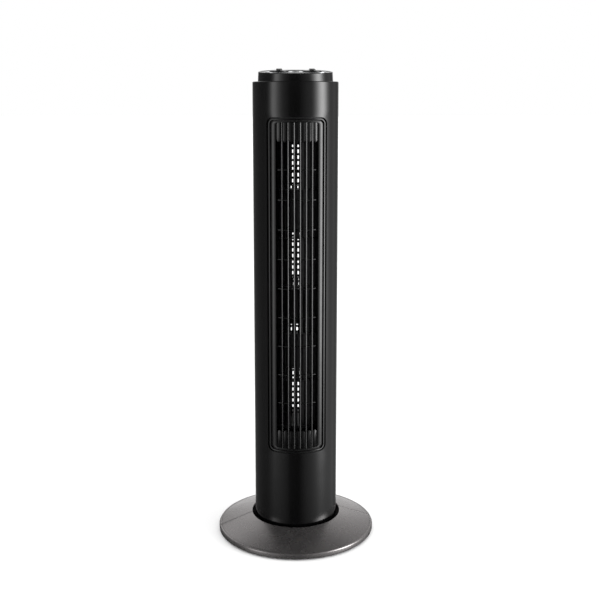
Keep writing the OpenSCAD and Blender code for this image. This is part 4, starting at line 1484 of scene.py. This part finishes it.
@dataclass
class Base:
    """The two halves of the base ring."""

    radius: float = 124.5 * MM
    neck: float = 70.2 * MM
    neck_z: float = 29.5 * MM
    rim_z: float = 11.2 * MM
    low: float = 2.0 * MM
    wall: float = 2.4 * MM
    clock: float = 6.5
    seam: float = 0.25 * MM
    seam_ring: float = 100.0 * MM
    plate_radius: float = 92.0 * MM
    boss_ring: float = 84.0 * MM
    boss_radius: float = 4.2 * MM
    foot_ring: float = 108.0 * MM

    def section(self) -> list[Point]:
        """Return the ring's section, with its corners rounded.

        Returns:
            The closed (radius, height) section.
        """
        r, n, edge = self.radius, self.neck, self.radius - 4.2 * MM
        return rounded_profile([
            (n, 17.0 * MM, 0.4 * MM), (n + self.wall, 17.0 * MM, 0.4 * MM),
            (n + self.wall, self.neck_z - self.wall - 1.2 * MM, 0.5 * MM),
            (edge - 1.5 * MM, self.rim_z - self.wall, 1.0 * MM),
            (r - self.wall - 0.9 * MM, self.rim_z - 2.6 * MM, 0.6 * MM),
            (r - self.wall - 0.9 * MM, self.low, 0.3 * MM), (r - 1.2 * MM, self.low, 0.4 * MM),
            (r, self.low + 1.4 * MM, 0.5 * MM), (r, self.rim_z - 2.2 * MM, 0.8 * MM),
            (r - 0.9 * MM, self.rim_z - 0.9 * MM, 0.7 * MM), (r - 2.2 * MM, self.rim_z - 0.3 * MM, 0.5 * MM),
            (edge + 1.3 * MM, self.rim_z - 0.9 * MM, 0.3 * MM), (edge, self.rim_z, 0.3 * MM),
            (n + 1.2 * MM, self.neck_z, 0.9 * MM), (n, self.neck_z - 0.9 * MM, 0.6 * MM),
        ])

    def cone(self, radius: float) -> float:
        """Return the height of the cone at a radius."""
        edge, n = self.radius - 4.2 * MM, self.neck + 1.2 * MM
        return self.neck_z - (radius - n) * (self.neck_z - self.rim_z) / (edge - n)

    def web(self) -> bpy.types.Object:
        """Make one upright web under the cone.

        Returns:
            The web, on +X.
        """
        n, p, r = self.neck, self.plate_radius + 1.5 * MM, self.radius
        outline = [
            (n + 1 * MM, 17 * MM), (p, 11 * MM), (p, self.low + 1.5 * MM), (r - 3.2 * MM, self.low + 1.5 * MM),
            (r - 3.2 * MM, self.rim_z - 3.4 * MM), (r - 6.5 * MM, self.rim_z - 2.0 * MM),
            (n + 2 * MM, self.neck_z - self.wall - 0.4 * MM),
        ]
        work = bmesh.new()
        loft(work, [[Vector((x, y, z)) for x, z in outline] for y in (-1.0 * MM, 1.0 * MM)])
        return mesh_from("web", work)

    def boss(self, ring: float, radius: float, hole: float, low: float, high: float) -> bpy.types.Object:
        """Make one round boss with a hole up its middle.

        Args:
            ring: radius of the circle that it stands on.
            radius: its own radius.
            hole: radius of its hole.
            low: its bottom.
            high: its top.

        Returns:
            The boss, on +X.
        """
        deep = low + 0.6 * (high - low)
        work = bmesh.new()
        steps = ((hole, deep), (hole, low), (radius, low), (radius, high))
        loft(work, [circle(r, z, 32, x=ring) for r, z in steps])
        return mesh_from("boss", work)

    def half(self, start: float, name: str, node: str) -> None:
        """Build one half of the base.

        Args:
            start: angle of its first seam edge, in degrees from +X.
            name: name of the piece.
            node: CAD node that it stands for.
        """
        gap = math.degrees(self.seam / self.seam_ring)
        work = bmesh.new()
        revolve(work, self.section(), start + gap, 180.0 - 2 * gap, 96)
        shell = bevelled(mesh_from("shell", work), 0.4 * MM, 2, 60.0)
        around = ring_round()
        webs = around.run("webs", self.web(), BASE_PAINT, {"Count": 6, "First": start + 15.0, "Step": 30.0})
        thirds = {"Count": 3, "First": start + 30.0, "Step": 60.0}
        under = self.cone(self.boss_ring + self.boss_radius) - 1.0 * MM
        screw_boss = self.boss(self.boss_ring, self.boss_radius, 1.3 * MM, 9.0 * MM, under)
        screws = around.run("screw_bosses", screw_boss, BASE_PAINT, thirds)
        foot_boss = self.boss(self.foot_ring, 8.8 * MM, 7.1 * MM, self.low, self.rim_z - 0.8 * MM)
        feet = around.run("foot_bosses", foot_boss, BASE_PAINT, thirds)
        dress(joined(name, [shell, webs, screws, feet]), BASE_PAINT, "base", (node,))

    def build(self) -> None:
        """Build both halves."""
        self.half(self.clock, "base_rear", "base_rear_half")
        self.half(self.clock + 180.0, "base_front", "base_front_half")


# ---------------------------------------------------------------- carried-over nodes


def dress_frame_nodes() -> None:
    """Give every CAD node the finish of its record slot."""
    known = {f.name: f for f in FINISHES}
    for part in frame["record"]["subparts"]:
        node = frame["nodes"][part["node"]]
        node.data.materials.clear()
        node.data.materials.append(known[part["material_slot"]].material())
        log.info("%s: frame node in %s", part["node"], part["material_slot"])


# ---------------------------------------------------------------- studio


@dataclass
class Studio:
    """Floor, light and camera."""

    floor_half: float = 30.0
    focal: float = 58.96
    distance: float = 1.513
    height: float = 0.697
    pitch: float = 9.79
    azimuth: float = -2.5
    aside: float = 0.0061
    shift: float = -0.06
    soft_light: float = 1.35
    side_top: float = 1.5
    strip_top: float = 12.0

    def floor(self) -> None:
        """Lay a plain pale floor that gloss doesn't mirror."""
        work = bmesh.new()
        s = self.floor_half
        work.faces.new([work.verts.new(p) for p in ((-s, -s, 0), (s, -s, 0), (s, s, 0), (-s, s, 0))])
        mesh = bpy.data.meshes.new("floor")
        work.to_mesh(mesh)
        work.free()
        floor = new_object("floor", mesh)
        paper = bpy.data.materials.new("white_paper")
        paper.use_nodes = True
        shader = paper.node_tree.nodes["Principled BSDF"]
        shader.inputs["Base Color"].default_value = (0.9, 0.9, 0.9, 1.0)
        shader.inputs["Roughness"].default_value = 1.0
        shader.inputs["Specular IOR Level"].default_value = 0.0
        mesh.materials.append(paper)
        floor.visible_glossy = False

    def ramp(self, tree: bpy.types.NodeTree, stops: list[Point], top: float) -> bpy.types.Node:
        """Add a ramp of grey levels.

        Args:
            tree: the world's tree.
            stops: (position, level) pairs.
            top: level that white stands for.

        Returns:
            The ramp node.
        """
        node = tree.nodes.new("ShaderNodeValToRGB")
        elements = node.color_ramp.elements
        while len(elements) > 1:
            elements.remove(elements[-1])
        for k, (position, level) in enumerate(stops):
            element = elements[0] if k == 0 else elements.new(position)
            element.position = position
            element.color = (level / top, level / top, level / top, 1.0)
        return node

    def round_ramp(
        self, tree: bpy.types.NodeTree, top: float, stops: list[Point], behind: float,
    ) -> bpy.types.Node:
        """Add a ramp that runs round the studio.

        Args:
            tree: the world's tree.
            top: level that white stands for.
            stops: (azimuth, level) pairs, in degrees from the front and positive to +X.
            behind: level straight behind, where the ramp begins and ends.

        Returns:
            The ramp node.
        """
        placed = [((azimuth + self.azimuth) / 360.0 + 0.5, level) for azimuth, level in stops]
        return self.ramp(tree, [(0.0, behind), *placed, (1.0, behind)], top)

    def upright_ramp(self, tree: bpy.types.NodeTree, stops: list[Point]) -> bpy.types.Node:
        """Add a ramp from the floor to the zenith.

        Args:
            tree: the world's tree.
            stops: (elevation in degrees, level) pairs.

        Returns:
            The ramp node.
        """
        return self.ramp(tree, [(elevation / 180.0 + 0.5, level) for elevation, level in stops], 1.0)

    def world(self) -> None:
        """Set the studio round the fan: pale to the eye, with tall soft boxes for gloss to show."""
        world = bpy.data.worlds.new("studio")
        bpy.context.scene.world = world
        world.use_nodes = True
        tree = world.node_tree
        tree.nodes.clear()
        place = tree.nodes.new("ShaderNodeTexCoord")
        parts = tree.nodes.new("ShaderNodeSeparateXYZ")
        tree.links.new(place.outputs["Generated"], parts.inputs[0])

        forward = math_node(tree, "MULTIPLY", parts.outputs["Y"], -1.0)
        around = math_node(tree, "ARCTAN2", parts.outputs["X"], forward)
        turn = math_node(tree, "ADD", math_node(tree, "DIVIDE", around, math.tau), 0.5)
        rise = math_node(tree, "ARCSINE", parts.outputs["Z"])
        lift = math_node(tree, "ADD", math_node(tree, "DIVIDE", rise, math.pi), 0.5)
        walls = self.round_ramp(tree, self.side_top, [
            (-168, 1.15), (-158, 0.15), (-123, 0.17), (-103, 0.18), (-86, 0.22), (-70, 0.4), (-46, 0.5),
            (-35, 0.45), (-23, 0.3), (-14, 0.1), (9, 0.07), (17, 0.2), (30, 0.45), (40, 0.6), (50, 0.75),
            (75, 0.9), (98, 0.9), (116, 0.65), (127, 0.6), (140, 0.25), (156, 0.25), (168, 1.1),
        ], behind=1.4)
        strips = self.round_ramp(tree, self.strip_top, [
            (-78, 0.0), (-70, 0.7), (-63, 2.7), (-56, 2.5), (-47, 1.0), (-37, 0.2), (-28, 0.0), (44, 0.0),
            (50, 0.6), (58, 3.0), (66, 8.0), (73, 11.5), (79, 11.0), (86, 6.5), (93, 2.0), (100, 0.4),
            (106, 0.0),
        ], behind=0.0)
        glow = self.round_ramp(tree, 1.0, [
            (-160, 0.9), (-140, 0.75), (-115, 0.3), (-80, 0.12), (80, 0.12), (115, 0.25), (150, 0.4),
            (164, 0.8),
        ], behind=1.0)
        fall = self.upright_ramp(tree, [
            (-26, 0.003), (-21, 0.05), (-19, 0.2), (-17.5, 0.42), (-14.7, 0.78), (-11.8, 0.95), (-9, 1.0),
            (22, 1.0), (40, 0.1), (60, 0.0),
        ])
        ceiling = self.upright_ramp(tree, [
            (-90, 0.15), (-35, 0.2), (-26, 0.35), (-23, 0.95), (-20, 1.0), (18, 0.8), (35, 0.25),
            (60, 0.06), (90, 0.05),
        ])
        high = self.upright_ramp(tree, [
            (5, 0.0), (15, 0.4), (25, 0.9), (35, 1.0), (45, 0.85), (53, 0.42), (60, 0.18), (68, 0.1),
            (90, 0.08),
        ])
        for node in (walls, strips, glow):
            tree.links.new(turn, node.inputs["Fac"])
        for node in (fall, ceiling, high):
            tree.links.new(lift, node.inputs["Fac"])
        gloss: object = 0.0
        pairs = ((walls, ceiling, self.side_top), (strips, fall, self.strip_top), (glow, high, 1.0))
        for level, height, top in pairs:
            both = math_node(tree, "MULTIPLY", level.outputs["Color"], height.outputs["Color"])
            gloss = math_node(tree, "ADD", gloss, math_node(tree, "MULTIPLY", both, top))
        rays = tree.nodes.new("ShaderNodeLightPath")
        lit = tree.nodes.new("ShaderNodeBackground")
        tree.links.new(gloss, lit.inputs["Strength"])
        pick = lit.outputs[0]
        for ray, strength in (("Is Diffuse Ray", self.soft_light), ("Is Camera Ray", 1.0)):
            plain = tree.nodes.new("ShaderNodeBackground")
            plain.inputs["Color"].default_value = (1.0, 1.0, 1.0, 1.0)
            plain.inputs["Strength"].default_value = strength
            mix = tree.nodes.new("ShaderNodeMixShader")
            tree.links.new(rays.outputs[ray], mix.inputs[0])
            tree.links.new(pick, mix.inputs[1])
            tree.links.new(plain.outputs[0], mix.inputs[2])
            pick = mix.outputs[0]
        out = tree.nodes.new("ShaderNodeOutputWorld")
        tree.links.new(pick, out.inputs["Surface"])

    def camera(self) -> None:
        """Set the camera where the fan is seen from a little above, almost square on."""
        data = bpy.data.cameras.new("camera")
        data.lens = self.focal
        data.sensor_width = 36.0
        data.shift_y = self.shift
        data.clip_end = 100.0
        camera = bpy.data.objects.new("camera", data)
        a = math.radians(self.azimuth)
        right = Vector((math.cos(a), math.sin(a), 0.0))
        back = Vector((math.sin(a), -math.cos(a), 0.0))
        camera.location = back * self.distance + right * self.aside + Vector((0.0, 0.0, self.height))
        camera.rotation_euler = (math.radians(90.0 - self.pitch), 0.0, a)
        bpy.context.scene.collection.objects.link(camera)
        bpy.context.scene.camera = camera

    def build(self) -> None:
        """Build the studio."""
        bpy.context.scene.view_settings.view_transform = "Standard"
        self.floor()
        self.world()
        self.camera()


def main() -> None:
    """Build the fan's looks."""
    logging.basicConfig(level=logging.INFO, format="%(name)s: %(message)s")
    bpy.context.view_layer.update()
    Studio().build()
    dress_frame_nodes()
    for part in (Base(), Column(), Grilles(), Handle(), Controls()):
        part.build()


if __name__ == "__main__":
    main()
